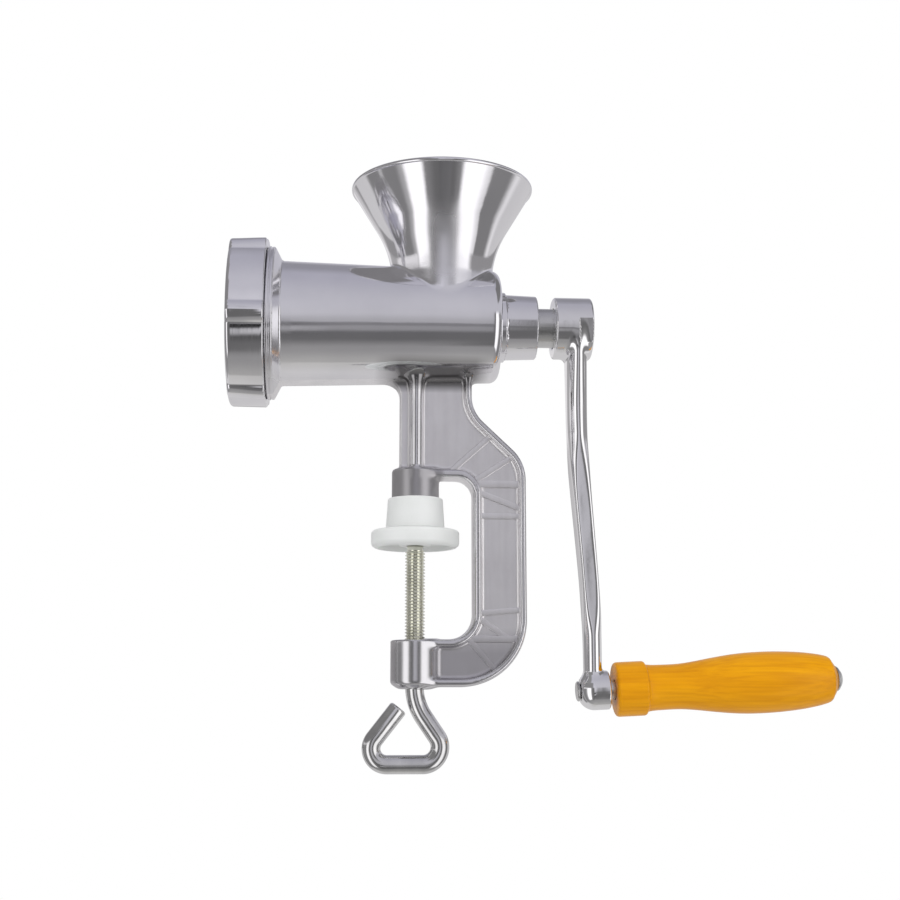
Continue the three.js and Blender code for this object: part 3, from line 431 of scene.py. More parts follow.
# Signed distances: outlines of straight lines and true arcs, exact enough for mirror-like normals
class Outline:
    """Distance to a path of lines and arcs, negative inside a closed counter-clockwise one."""

    def __init__(self, corners, closed=True):
        self.pieces = []
        ends = []
        for i, (x, y, r) in enumerate(corners):
            if r <= 0:
                here = np.array((x, y), dtype=float)
                ends.append((here, here, None))
                continue
            centre, first, last, _, turn = fillet(corners, i)
            ends.append((first, last, (centre, r, turn > 0)))
        count = len(ends)
        for i, (first, last, arc) in enumerate(ends):
            if arc:
                self.pieces.append(("arc", first, last, *arc))
            if i + 1 < count or closed:
                self.pieces.append(("line", last, ends[(i + 1) % count][0]))

    def __call__(self, px, py):
        best = np.full(px.shape, 1e9, dtype=px.dtype)
        perp = np.zeros_like(best)
        for part in self.pieces:
            if part[0] == "line":
                _, a, b = part
                ex, ey = b - a
                length = math.hypot(ex, ey)
                if length < 1e-9:
                    continue
                ex, ey = ex / length, ey / length
                wx, wy = px - a[0], py - a[1]
                t = np.clip(wx * ex + wy * ey, 0, length)
                dx, dy = wx - t * ex, wy - t * ey
                d2 = dx * dx + dy * dy
                side = -(ex * wy - ey * wx)
            else:
                _, a, b, c, r, left = part
                wx, wy = px - c[0], py - c[1]
                reach = np.sqrt(wx * wx + wy * wy)
                ax, ay = (a - c) / r
                bx, by = (b - c) / r
                mx, my = ax + bx, ay + by
                scale = math.hypot(mx, my)
                mx, my = mx / scale, my / scale
                inside = (wx * mx + wy * my) >= (ax * mx + ay * my) * reach
                da = (px - a[0]) ** 2 + (py - a[1]) ** 2
                db = (px - b[0]) ** 2 + (py - b[1]) ** 2
                d2 = np.where(inside, (reach - r) ** 2, np.minimum(da, db))
                side = reach - r if left else r - reach
            nearer = d2 < best - 1e-6
            tied = (np.abs(d2 - best) <= 1e-6) & (np.abs(side) > np.abs(perp))
            take = nearer | tied
            best = np.where(take, d2, best)
            perp = np.where(take, side, perp)
        signed = np.sqrt(np.maximum(best, 0))
        return np.where(perp > 0, signed, -signed)

    def reach(self, px, py):
        return np.abs(self(px, py))


def smooth_min(a, b, k):
    h = np.maximum(k - np.abs(a - b), 0)
    return np.minimum(a, b) - h * h / (4 * k)


def smooth_max(a, b, k):
    return -smooth_min(-a, -b, k)


def smoothstep(value, low, high):
    t = np.clip((value - low) / (high - low), 0, 1)
    return t * t * (3 - 2 * t)


def slab(flat, across, half, edge):
    """A flat shape made as thick as 2 * half, its edges rounded."""
    a, b = flat + edge, np.abs(across) - half + edge
    return np.minimum(np.maximum(a, b), 0) + np.hypot(np.maximum(a, 0), np.maximum(b, 0)) - edge


def net(shape, low, high, cell, block=8):
    """Surface net of shape(x, y, z) < 0: vertices put exactly on the surface, quads, and true normals."""
    low = np.array(low, dtype=float)
    counts = np.ceil((np.array(high) - low) / cell / block).astype(int) * block
    values = np.empty(counts, dtype=np.float32)
    blocks = counts // block
    centres = [low[a] + (np.arange(blocks[a]) * block + (block - 1) / 2) * cell for a in range(3)]
    cx, cy, cz = np.meshgrid(*centres, indexing="ij")
    rough = shape(cx.ravel(), cy.ravel(), cz.ravel()).reshape(blocks)
    reach = math.sqrt(3) * (block + 1) / 2 * cell * 1.15
    view = values.reshape(blocks[0], block, blocks[1], block, blocks[2], block)
    view[:] = rough[:, None, :, None, :, None]
    near = np.argwhere(np.abs(rough) < reach)
    offsets = np.arange(block) * cell
    ox, oy, oz = (o.ravel() for o in np.meshgrid(offsets, offsets, offsets, indexing="ij"))
    batch = 400
    for start in range(0, len(near), batch):
        some = near[start : start + batch]
        base = low + some * block * cell
        found = shape(
            (base[:, 0, None] + ox).ravel(),
            (base[:, 1, None] + oy).ravel(),
            (base[:, 2, None] + oz).ravel(),
        ).reshape(len(some), block, block, block)
        for (i, j, k), part in zip(some, found):
            view[i, :, j, :, k, :] = part
    inside = values < 0
    corners = [(a, b, c) for a in (0, 1) for b in (0, 1) for c in (0, 1)]
    size = counts - 1
    tally = sum(
        inside[a : a + size[0], b : b + size[1], c : c + size[2]].astype(np.int8)
        for a, b, c in corners
    )
    cells = np.argwhere((tally > 0) & (tally < 8))
    number = np.full(size, -1, dtype=np.int32)
    number[tuple(cells.T)] = np.arange(len(cells))
    corner_values = np.stack([values[tuple((cells + c).T)] for c in corners], 1)
    total = np.zeros((len(cells), 3))
    weight = np.zeros(len(cells))
    for p in range(8):
        for q in range(p + 1, 8):
            if sum(x != y for x, y in zip(corners[p], corners[q])) != 1:
                continue
            a, b = corner_values[:, p], corner_values[:, q]
            crosses = (a < 0) != (b < 0)
            t = np.where(crosses, a / np.where(crosses, a - b, 1), 0)
            place = np.array(corners[p]) + t[:, None] * (np.array(corners[q]) - np.array(corners[p]))
            total += place * crosses[:, None]
            weight += crosses
    points = low + (cells + total / weight[:, None]) * cell
    quads = []
    for axis in range(3):
        other = [a for a in range(3) if a != axis]
        lo = [slice(None)] * 3
        hi = [slice(None)] * 3
        lo[axis], hi[axis] = slice(0, -1), slice(1, None)
        starts = np.argwhere(inside[tuple(lo)] != inside[tuple(hi)])
        keep = (starts[:, other[0]] > 0) & (starts[:, other[1]] > 0)
        keep &= (starts[:, other[0]] < size[other[0]]) & (starts[:, other[1]] < size[other[1]])
        starts = starts[keep]
        filled = inside[tuple(starts.T)]
        u, v = np.zeros(3, int), np.zeros(3, int)
        u[other[0]], v[other[1]] = 1, 1
        ring = [starts - u - v, starts - v, starts, starts - u]
        ids = np.stack([number[tuple(r.T)] for r in ring], 1)
        flip = filled if axis != 1 else ~filled
        quads.append(np.where(flip[:, None], ids, ids[:, ::-1]))
    quads = np.concatenate(quads)
    step = cell * 0.02
    for _ in range(4):
        value, slope = value_and_slope(shape, points, step)
        length = np.maximum((slope**2).sum(1), 0.05)
        move = -slope * (value / length)[:, None]
        far = np.linalg.norm(move, axis=1)
        move *= np.minimum(1, 0.5 * cell / np.maximum(far, 1e-9))[:, None]
        points = points + move
    _, slope = value_and_slope(shape, points, cell * 0.12)
    normals = slope / np.maximum(np.linalg.norm(slope, axis=1), 1e-9)[:, None]
    return points, quads, normals


def value_and_slope(shape, points, step):
    x, y, z = points.T
    value = shape(x, y, z)
    slope = np.stack(
        [
            shape(x + step, y, z) - shape(x - step, y, z),
            shape(x, y + step, z) - shape(x, y - step, z),
            shape(x, y, z + step) - shape(x, y, z - step),
        ],
        1,
    ) / (2 * step)
    return value, slope


# Body casting
BARREL_OUT = Outline(
    [
        (-69.6, -6, 0), (48.3, -6, 0), (48.3, 12.75, 0.5), (35.6, 13.2, 0.35), (35.6, 14.1, 0.4),
        (33.2, 14.1, 0.45), (33.2, 22.55, 3.8), (-53.7, 25.0, 0.9), (-56.3, 30.1, 0.4),
        (-58.7, 30.1, 0.4), (-58.9, 29.25, 0.3), (-69.6, 29.25, 0.5),
    ]
)
BARREL_IN = Outline(
    [
        (-80, -6, 0), (60, -6, 0), (60, 10.3, 0), (28.7, 10.3, 0.4), (28.7, 19.6, 1.5),
        (-54.2, 21.6, 1.0), (-57.4, 25.0, 0.5), (-64.3, 25.0, 0.3), (-64.3, 27.3, 0.3),
        (-80, 27.3, 0),
    ]
)
HOPPER_OUT = Outline(
    [
        (82.8, -60, 0), (140.3, -60, 0), (140.3, 36.9, 0), (112.4, 20.2, 45), (82.8, 20.2, 0),
    ]
)
HOPPER_IN = Outline(
    [
        (80, -60, 0), (150, -60, 0), (150, 39.96, 0), (113.07, 17.8, 47.4), (80, 17.8, 0),
    ]
)
WEB = Outline(
    [
        (-11.0, 75, 0), (-11.0, 60.8, 0), (-6.4, 55.4, 7.0), (-6.4, 20.4, 0), (22.8, 20.4, 7),
        (22.8, -43.0, 10), (0, -43.0, 0), (0, -60.4, 0), (43.1, -60.4, 25.5), (43.1, 26.8, 16),
        (21.8, 47.0, 15), (21.8, 62.2, 3.0), (25.2, 63.6, 0), (25.2, 75, 0),
    ]
)
OUTER_RIM = Outline(
    [
        (0, -59.15, 0), (41.85, -59.15, 24.25), (41.85, 26.25, 14.75), (20.55, 46.45, 16.25),
        (20.55, 72, 0),
    ],
    closed=False,
)
THROAT_RIM = Outline(
    [
        (0, 21.9, 0), (24.2, 21.9, 8.4), (24.2, -44.3, 11.4), (0, -44.3, 0),
    ],
    closed=False,
)
WEB_RIBS = [
    (14.0, 23.2, 30.2, 37.7, 0.95), (23.5, 19.4, 39.2, 29.6, 0.95), (23.5, 18.0, 42.0, 18.0, 1.3),
    (23.5, 15.1, 42.0, 8.0, 0.95), (23.5, 5.3, 42.0, 5.3, 0.95), (23.5, -32.8, 42.0, -31.2, 0.95),
    (24.0, -34.2, 36.8, -43.0, 0.95), (20.0, -42.5, 39.8, -42.5, 1.15),
    (20.5, -42.6, 31.0, -54.3, 0.95),
]


def cylinder_z(x, y, z, radius, low, high, edge, cx=0.0):
    return slab(np.hypot(x - cx, y) - radius, z - (low + high) / 2, (high - low) / 2, edge)


def casting(x, y, z):
    r_axis = np.hypot(y, z - AXIS)
    barrel = BARREL_OUT(x, r_axis)
    r_hopper = np.hypot(x - HOPPER_X, y)
    # the neck is a little deeper than wide where it meets the barrel
    deeper = 1 - 0.055 * smoothstep(118 - z, 0, 16)
    hopper = HOPPER_OUT(z, np.hypot(x - HOPPER_X, y * deeper))
    body = smooth_min(barrel, hopper, 0.8)
    web = slab(WEB(x, z), y, 4.0, 0.8)
    outer = slab(OUTER_RIM.reach(x, z) - 1.25, y, 7.0, 1.05)
    throat = slab(THROAT_RIM.reach(x, z) - np.where(z > 15, 1.5, 1.3), y, 7.0, 1.05)
    rims = smooth_min(outer, throat, 0.8)
    frame_ = smooth_min(web, rims, 1.6)
    jaw = cylinder_z(x, y, z, 9.3, 4.3, 23.9, 0.9)
    boss = cylinder_z(x, y, z, 9.4, -61.6, -42.9, 0.8)
    boss = smooth_max(boss, (np.hypot(x, y) - 9.4 - 1.43 * (z + 59.5)) * 0.573, 0.8)
    bosses = np.minimum(jaw, boss)
    frame_ = smooth_min(frame_, bosses, 1.8)
    swell = np.clip((z - 50) / 12, 0, 1)
    stem = np.hypot(x, np.maximum(np.abs(y) - 6.4, 0)) - 2.6 - 0.8 * swell**2
    stem = np.maximum(stem, np.maximum(20.4 - z, z - 75))
    frame_ = smooth_min(frame_, stem, 1.0)
    body = smooth_min(body, frame_, 3.0)
    hollow = BARREL_IN(x, r_axis)
    funnel = HOPPER_IN(z, r_hopper)
    bore = np.hypot(x, y) - 4.25
    bore = np.maximum(bore, z + 20)
    key = np.maximum(np.hypot(x + 67.1, y) - 2.0, 100 - z)
    body = smooth_max(body, -smooth_min(hollow, funnel, 1.0), 0.5)
    body = smooth_max(body, -bore, 0.4)
    return smooth_max(body, -key, 0.3)


def make_casting():
    cell = 0.7
    points, quads, normals = net(casting, (-73, -39.5, -65), (52, 39.5, 144), cell)
    grid_piece(
        "casting", points, quads, "casting", "frame", ("body_casting",), normals=normals
    )


make_casting()


def make_web_ribs():
    """Low flat bars on both faces of the web, their ends inside the rims."""
    points, quads = [], []
    for rank, (ax, az, bx, bz, half) in enumerate(WEB_RIBS):
        top = 4.68 + 0.012 * rank
        way = np.array((bx - ax, bz - az))
        way /= np.linalg.norm(way)
        foot, brow, inside, edge = half + 0.35, half + 0.1, 3.4, 0.16
        corners = [(-foot, inside, 0), (-brow, top, edge), (brow, top, edge), (foot, inside, 0)]
        section = rounded(corners, 30.0)
        for face in (-1, 1):
            first = sum(len(p) for p in points)
            across, out = section[:, 0], section[:, 1] * face
            for ex, ez in ((ax, az), (bx, bz)):
                points.append(np.stack([ex - way[1] * across, out, ez + way[0] * across], 1))
            count = len(section)
            for k in range(count):
                n = (k + 1) % count
                quad = [first + k, first + n, first + count + n, first + count + k]
                quads.append(quad if face > 0 else quad[::-1])
    grid_piece("web_ribs", np.concatenate(points), quads, "casting", "frame", smooth_angle=40)


make_web_ribs()


def make_mouth_thread():
    pitch, low, high = 2.0, -69.5, -59.7
    along = np.linspace(low, high, 96)
    segments = 192
    angles = np.linspace(0, 2 * math.pi, segments, endpoint=False)
    a, t = np.meshgrid(along, angles, indexing="ij")
    phase = ((a - low) / pitch - t / (2 * math.pi)) % 1.0
    ridge = 1 - np.abs(phase * 2 - 1)
    fade = np.clip(np.minimum(a - low, high - a) / 0.6, 0, 1)
    radius = 28.9 + 1.1 * np.clip(ridge * 1.25, 0, 1) * fade
    points = np.stack([a, -radius * np.cos(t), AXIS + radius * np.sin(t)], -1).reshape(-1, 3)
    grid_piece("mouth_thread", points, lattice(len(along), segments), "casting", "frame")


make_mouth_thread()


# Ring nut with six rounded ribs
def make_ring_nut():
    front, back = -73.9, -59.3
    profile = rounded(
        [
            (back, 30.3, 0.4), (back, 33.6, 0.6), (front, 33.4, 1.5), (front, 25.2, 1.6),
            (-70.9, 25.2, 0.4), (-70.9, 30.3, 0.3),
        ],
        9.0,
    )
    dense = []
    for a, b in zip(profile, np.roll(profile, -1, axis=0)):
        parts = max(1, int(np.linalg.norm(b - a) / 0.8))
        dense += [a + (b - a) * k / parts for k in range(parts)]
    profile = np.array(dense)
    segments = 576
    angles = np.linspace(0, 2 * math.pi, segments, endpoint=False)
    x = np.repeat(profile[:, 0], segments)
    r = np.repeat(profile[:, 1], segments)
    t = np.tile(angles, len(profile))
    rib_turn, rib_half, gap = 0.13, 0.125, math.pi / 3
    from_rib = (t + rib_turn + gap / 2) % gap - gap / 2
    crown = np.cos(math.pi / 2 * np.minimum(np.abs(from_rib) / rib_half, 1)) ** 0.8
    outward = smoothstep(r, 31.6, 33.2)
    r = r + (1.7 + 0.5 * smoothstep(x, front, back)) * crown * outward
    points = np.stack([x, -r * np.cos(t), AXIS + r * np.sin(t)], 1)
    quads = np.roll(lattice(len(profile), segments, closed=True), -1, axis=1)
    grid_piece("ring", points, quads, "ring", "ring", ("ring_nut",))


make_ring_nut()


# Crank arm: hub, S-bent arm and knuckle
HUB = Outline(
    [
        (55.3, -6, 0), (70.7, -6, 0), (70.7, 12.5, 1.0), (55.9, 12.5, 0.6), (55.3, 11.8, 0.4),
    ]
)
KNUCKLE_OUT = Outline(
    [
        (-6.1, -6, 0), (6.1, -6, 0), (6.1, 7.5, 0.7), (-6.1, 7.5, 6.4),
    ]
)


ARM_TOP = 62.0
ARM_LOW = -51.0


def superellipse(x, y, a, b, power):
    """Distance, to first order, to a superellipse of half axes a and b."""
    u, v = np.abs(x) / a, np.abs(y) / b
    level = np.maximum(u**power + v**power, 1e-6) ** (1 / power)
    steep = np.hypot((u / level) ** (power - 1) / a, (v / level) ** (power - 1) / b)
    return (level - 1) / np.maximum(steep, 0.5 / b)


def arm_section(z):
    """Middle, half axes and power of the arm's section at a height."""
    share = np.clip((AXIS - z) / 144.9, 0, 1)
    centre = 64.6 + 4.8 * smoothstep(share, 0.25, 0.88)
    flatness = smoothstep(share, 0.3, 0.52) * (1 - smoothstep(share, 0.7, 0.86))
    half_t = 4.36 - 0.86 * share - 0.42 * flatness
    half_w = 7.75 - 3.0 * share + 2.6 * (1 - smoothstep(share, 0.02, 0.24))
    return centre, half_t, half_w, 2.2 + 5.2 * flatness


def arm(x, y, z):
    centre, half_t, half_w, power = arm_section(z)
    return superellipse(x - centre, y, half_t, half_w, power)


def crank(x, y, z):
    hub = HUB(x, np.hypot(y, z - AXIS))
    # between its ends the arm's skin is swept below, so the core keeps just inside it
    inside = smoothstep(ARM_TOP - z, 0, 1.5) * smoothstep(z - ARM_LOW, 0, 1.5)
    bar = np.maximum(arm(x, y, z) + 0.1 * inside, np.maximum(z - AXIS, -61.2 - z))
    # a flat cut on the hub's front and back, facing a little down
    facet = np.abs(y) * 0.961 - (z - AXIS) * 0.276 - 11.55
    head = np.maximum(hub, np.minimum(facet, x - 64.7))
    whole = smooth_min(head, bar, 2.4)
    c, s = math.cos(TILT), math.sin(TILT)
    kx, kz = x - KNUCKLE[0], z - KNUCKLE[2]
    u, w = kx * c + kz * s, -kx * s + kz * c
    r = np.hypot(y, w)
    whole = smooth_min(whole, KNUCKLE_OUT(u, r), 1.6)
    seat = np.maximum(r - 4.2, u + 5.3)
    hole = np.maximum(r - 2.9, np.abs(u) - 12)
    bore = np.maximum(np.maximum(np.hypot(y, z - AXIS) - 8.2, np.abs(y) - 6.6), x - 62.4)
    sink = np.maximum(np.hypot(y, z - AXIS) - 6.9, 65.4 - x)
    cuts = np.minimum(np.minimum(bore, sink), np.minimum(seat, hole))
    return smooth_max(whole, -cuts, 0.5)


def make_crank():
    cell = 0.38
    points, quads, normals = net(crank, (53, -14.5, -73), (79, 14.5, 98), cell)
    grid_piece("crank_forging", points, quads, "chrome", "crank", ("crank_arm",), normals=normals)


def make_arm_skin():
    around = 192
    rows = 170
    heights = np.linspace(ARM_TOP, ARM_LOW, rows)
    heights = np.concatenate([[ARM_TOP + 0.4], heights, [ARM_LOW - 0.4]])
    turn = (np.arange(around) + 0.5) * 2 * math.pi / around
    centre, half_t, half_w, power = (part[:, None] for part in arm_section(heights))
    less = np.zeros((len(heights), 1))
    less[0] = less[-1] = 0.06
    x = np.sign(np.cos(turn)) * np.abs(np.cos(turn)) ** (2 / power) * (half_t - less) + centre
    y = np.sign(np.sin(turn)) * np.abs(np.sin(turn)) ** (2 / power) * (half_w - less)
    points = np.stack([x, y, np.broadcast_to(heights[:, None], x.shape)], 2).reshape(-1, 3)
    sides = lattice(len(heights), around)[:, ::-1]
    half = np.arange(around // 2 - 1)
    upper = np.stack([half, half + 1, around - 2 - half, around - 1 - half], 1)
    lower = upper[:, ::-1] + (len(heights) - 1) * around
    quads = np.concatenate([sides, upper, lower])
    normals = value_and_slope(arm, points, 0.02)[1]
    normals /= np.linalg.norm(normals, axis=1)[:, None]
    grid_piece("arm_skin", points, quads, "chrome", "crank", normals=normals)


make_crank()
make_arm_skin()


# Turned pieces
def turned_piece(name, corners, finish, body, replaced, place, segments=96, step=8.0, angle=35):
    points, quads = turned(rounded(corners, step), segments, closed=True)
    return grid_piece(name, place(points), quads, finish, body, replaced, smooth_angle=angle)


turned_piece(
    "hopper_lip",
    [
        (140.8, 34.38, 0.5), (140.8, 36.9, 0.75), (139.15, 36.9, 0.7), (139.05, 35.0, 0),
        (139.05, 33.33, 0),
    ],
    "casting",
    "frame",
    (),
    lambda points: along_z(points, HOPPER_X),
    256,
    12.0,
)
turned_piece(
    "flange_discs",
    [
        (-56.5, 28.6, 0), (-56.4, 30.5, 0.35), (-57.45, 30.5, 0.2), (-57.5, 29.9, 0.1),
        (-57.8, 29.9, 0.1), (-57.85, 30.7, 0.3), (-59.0, 30.7, 0.35), (-59.0, 28.6, 0),
    ],
    "casting",
    "frame",
    (),
    along_x,
    256,
    15.0,
)
turned_piece(
    "jaw_cap_moulding",
    [
        (0, 0.01, 0), (0, 11.6, 0.8), (12.4, 10.8, 0.7), (12.4, 9.6, 0.3), (4.0, 9.6, 0.3),
        (4.0, 0.01, 0),
    ],
    "nylon",
    "frame",
    ("jaw_cap",),
    along_z,
)
turned_piece(
    "pad_moulding",
    [
        (-6.3, 3.4, 0.2), (-6.3, 6.2, 0.8), (-4.7, 6.6, 0.6), (-4.7, 13.9, 1.0), (-7.1, 14.8, 0.3),
        (-7.1, 17.3, 2.2), (-0.3, 17.3, 1.3), (-0.3, 5.9, 0.3), (-2.6, 5.9, 0.2), (-2.6, 3.4, 0.2),
    ],
    "nylon",
    "pad",
    ("screw_pad",),
    along_z,
    128,
)
turned_piece(
    "shaft",
    [
        (10.6, 0.01, 0), (10.6, 7.9, 0.6), (62.1, 7.9, 0.8), (62.1, 0.01, 0),
    ],
    "steel",
    "crank",
    ("drive_shaft",),
    along_x,
)


# Wooden grip and the parts on its axis
def make_grip():
    start = 8.4
    inner_end = [(0.0, 4.0), (0.0, 9.45), (0.1, 9.8), (0.35, 10.15)]
    body = [
        (0.8, 10.42), (1.6, 10.5), (10.4, 10.5), (11.3, 10.45), (11.8, 10.15), (12.0, 9.6),
        (12.3, 9.25), (13.0, 9.05), (15.2, 8.82), (18.6, 8.73), (22.5, 8.7), (26.7, 8.85),
        (32.0, 9.45), (38.9, 10.45), (45.7, 11.3), (51.0, 11.72), (55.9, 11.88), (60.8, 11.88),
        (65.8, 11.7), (71.0, 11.35), (75.8, 10.85), (80.8, 10.05), (84.0, 9.3),
    ]
    outer_end = [
        (84.9, 8.95), (85.4, 8.6), (85.7, 8.0), (87.35, 5.75), (87.6, 5.2), (87.6, 2.9), (1.1, 2.9),
        (1.1, 4.0),
    ]
    outline = np.concatenate([np.array(inner_end), catmull(np.array(body), 6), np.array(outer_end)])
    outline[:, 0] += start
    points, quads = turned(outline, 128, closed=True)
    grid_piece("wooden_grip", at_knuckle(points), quads, "wood", "grip", ("grip",), smooth_angle=50)


def catmull(points, steps):
    out = []
    for i in range(len(points) - 1):
        p0 = points[max(i - 1, 0)]
        p1, p2 = points[i], points[i + 1]
        p3 = points[min(i + 2, len(points) - 1)]
        # chordal tangents keep unevenly spaced points free of overshoot
        d = np.linalg.norm(p2 - p1)
        d0 = max(np.linalg.norm(p1 - p0), 1e-6)
        d2 = max(np.linalg.norm(p3 - p2), 1e-6)
        m1 = (p2 - p0) / (d0 + d) * d if i > 0 else p2 - p1
        m2 = (p3 - p1) / (d2 + d) * d if i + 2 < len(points) else p2 - p1
        for k in range(steps):
            t = k / steps
            out.append(
                (2 * t**3 - 3 * t**2 + 1) * p1
                + (t**3 - 2 * t**2 + t) * m1
                + (-2 * t**3 + 3 * t**2) * p2
                + (t**3 - t**2) * m2
            )
    out.append(points[-1])
    return np.array(out)


make_grip()
turned_piece(
    "spindle",
    [
        (-6.6, 0.01, 0), (-6.6, 3.9, 0.8), (-5.6, 3.9, 0.3), (-5.6, 2.6, 0), (96.3, 2.6, 0),
        (96.3, 5.0, 0.3), (97.1, 4.8, 1.2), (98.8, 2.4, 3.0), (98.8, 0.01, 0),
    ],
    "steel",
    "crank",
    ("grip_spindle",),
    at_knuckle,
    64,
)
turned_piece(
    "spacer",
    [(6.4, 2.9, 0.1), (6.4, 3.7, 0.25), (9.2, 3.7, 0.25), (9.2, 2.9, 0.1)],
    "steel",
    "crank",
    ("grip_spacer",),
    at_knuckle,
    64,
)


# Clamp screw: one skin from the tip through the thread to the end of the bent handle
def make_clamp_screw():
    bend = rounded(
        [
            (0, -61.0, 0), (0, -67.0, 20), (15.8, -90.0, 6.6), (-22.9, -90.0, 6.0),
            (-5.97, -68.53, 0),
        ],
        4.0,
    )
    rod, pitch, root, depth, runout = 3.6, 1.25, 3.22, 0.73, 0.8
    top, foot = -7.8, -60.6
    tip = ((-0.8, 0.01), (-0.8, 2.5), (-0.95, 2.95), (-1.3, 3.1), (-7.6, 3.1), (-7.7, 3.2))
    steps = [(0.0, z, r) for z, r in tip]
    steps += [(0.0, z, None) for z in np.arange(top, foot, -pitch / 12)]
    steps += [(0.0, -60.7, 3.55), (0.0, -61.0, rod)]
    steps += [(x, z, rod) for x, z in bend[1:-1]]
    way = bend[-1] - bend[-2]
    way /= np.linalg.norm(way)
    for back, r in ((1.0, rod), (0.55, 3.5), (0.2, 3.2), (0.0, 2.6), (0.0, 0.01)):
        steps.append((*(bend[-1] - way * back), r))
    places = np.array([step[:2] for step in steps])
    segments, tip_rows = 64, len(tip) + 2
    angles = np.linspace(0, 2 * math.pi, segments, endpoint=False)
    points = []
    for i, (place, (_, _, r)) in enumerate(zip(places, steps)):
        ahead = places[min(i + 1, len(places) - 1)] - places[max(i - 1, 0)]
        if i < tip_rows:
            ahead = np.array((0.0, -1.0))
        elif np.linalg.norm(ahead) < 1e-6:
            ahead = way
        ahead = ahead / np.linalg.norm(ahead)
        side = np.array((-ahead[1], ahead[0]))
        if r is None:
            z = place[1]
            phase = (z / pitch + angles / (2 * math.pi)) % 1.0
            ridge = np.clip((1 - np.abs(phase * 2 - 1)) * 1.25 - 0.1, 0, 1)
            fade = min(1.0, (top - z) / runout, (z - foot) / runout)
            ring = root + depth * ridge * max(fade, 0)
        else:
            ring = np.full(segments, r)
        across, out = ring * np.cos(angles), ring * np.sin(angles)
        points.append(np.stack([place[0] + side[0] * across, out, place[1] + side[1] * across], 1))
    points = np.concatenate(points)
    quads = np.roll(lattice(len(places), segments), -1, axis=1)
    grid_piece("screw_rod", points, quads, "zinc", "screw", ("clamp_screw",), smooth_angle=60)


make_clamp_screw()


# Cutting plate, its holes drilled round: the same rings of holes, centre hole and notch as the node
PLATE_RADIUS = 27.0
PLATE_HALF = 3.0
PLATE_MIDDLE = -67.6
PLATE_RINGS = ((0.4, 6), (0.6, 11), (0.82, 17))
PLATE_HOLE = 2.15
PLATE_CENTRE_HOLE = 5.2
PLATE_EDGE = 0.12
NOTCH_HALF = 1.9
NOTCH_DEPTH = 2.7


def make_cutting_plate():
    curve = bpy.data.curves.new("plate_outline", "CURVE")
    curve.dimensions = "2D"
    curve.fill_mode = "BOTH"
    curve.extrude = PLATE_HALF - PLATE_EDGE
    curve.bevel_depth = PLATE_EDGE

    def loop(points):
        spline = curve.splines.new("POLY")
        spline.points.add(len(points) - 1)
        spline.use_cyclic_u = True
        for point, (u, v) in zip(spline.points, points):
            point.co = (u, v, 0, 1)

    def arc(u, v, radius, turns):
        return [(u + radius * math.cos(turn), v + radius * math.sin(turn)) for turn in turns]

    def hole(u, v, radius, sides):
        loop(arc(u, v, radius + PLATE_EDGE, np.linspace(0, 2 * math.pi, sides, endpoint=False)))

    rim = PLATE_RADIUS - PLATE_EDGE
    end = math.pi - math.asin(NOTCH_HALF / rim)
    floor = NOTCH_DEPTH - PLATE_RADIUS
    loop(arc(0, 0, rim, np.linspace(-end, end, 120)) + [(floor, NOTCH_HALF), (floor, -NOTCH_HALF)])
    for share, count in PLATE_RINGS:
        for i in range(count):
            turn = 2 * math.pi * (i + share) / count
            away = PLATE_RADIUS * share
            hole(away * math.cos(turn), away * math.sin(turn), PLATE_HOLE, 28)
    hole(0, 0, PLATE_CENTRE_HOLE, 64)
    drawn = bpy.data.objects.new("plate_outline", curve)
    scene.collection.objects.link(drawn)
    depsgraph = bpy.context.evaluated_depsgraph_get()
    mesh = bpy.data.meshes.new_from_object(drawn.evaluated_get(depsgraph))
    bpy.data.objects.remove(drawn)
    work = bmesh.new()
    work.from_mesh(mesh)
    bmesh.ops.remove_doubles(work, verts=work.verts, dist=0.001)
    for vert in work.verts:
        u, v, w = vert.co
        vert.co = Vector((PLATE_MIDDLE + w, v, AXIS - u)) * MM
    bmesh.ops.recalc_face_normals(work, faces=work.faces)
    work.to_mesh(mesh)
    work.free()
    mesh.materials.clear()
    finish_piece("drilled_plate", mesh, "steel", "plate", ("cutting_plate",), None, 30)


make_cutting_plate()

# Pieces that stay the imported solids, with a material on their slots
KEPT_SOLIDS = {
    "cast_grey": ("auger",),
    "steel": ("knife", "knife_stud", "plate_key", "crank_screw", "crank_washer", "pad_retainer"),
    "nylon": ("neck_bushing", "thrust_washer"),
}
for finish, names in KEPT_SOLIDS.items():
    for name in names:
        for slot in NODES[name].material_slots:
            slot.material = FINISHES[finish][0]

# Studio: white to the camera, and in the metal a graded room with cards, flags and two tall white panels.
# Its tones are linear light, from a black line to the panels.
LINE = 0.016
DEEP = 0.085
DARK = 0.145
DIM = 0.225
MIDDLE = 0.3
SOFT = 0.42
PALE = 0.54
LIGHT = 0.62
BRIGHT = 0.8
PANEL = 1.23
UPWARD_BLUE = (0.965, 1.145)
LEAN = 0.191
LEAN_REACH = 0.12

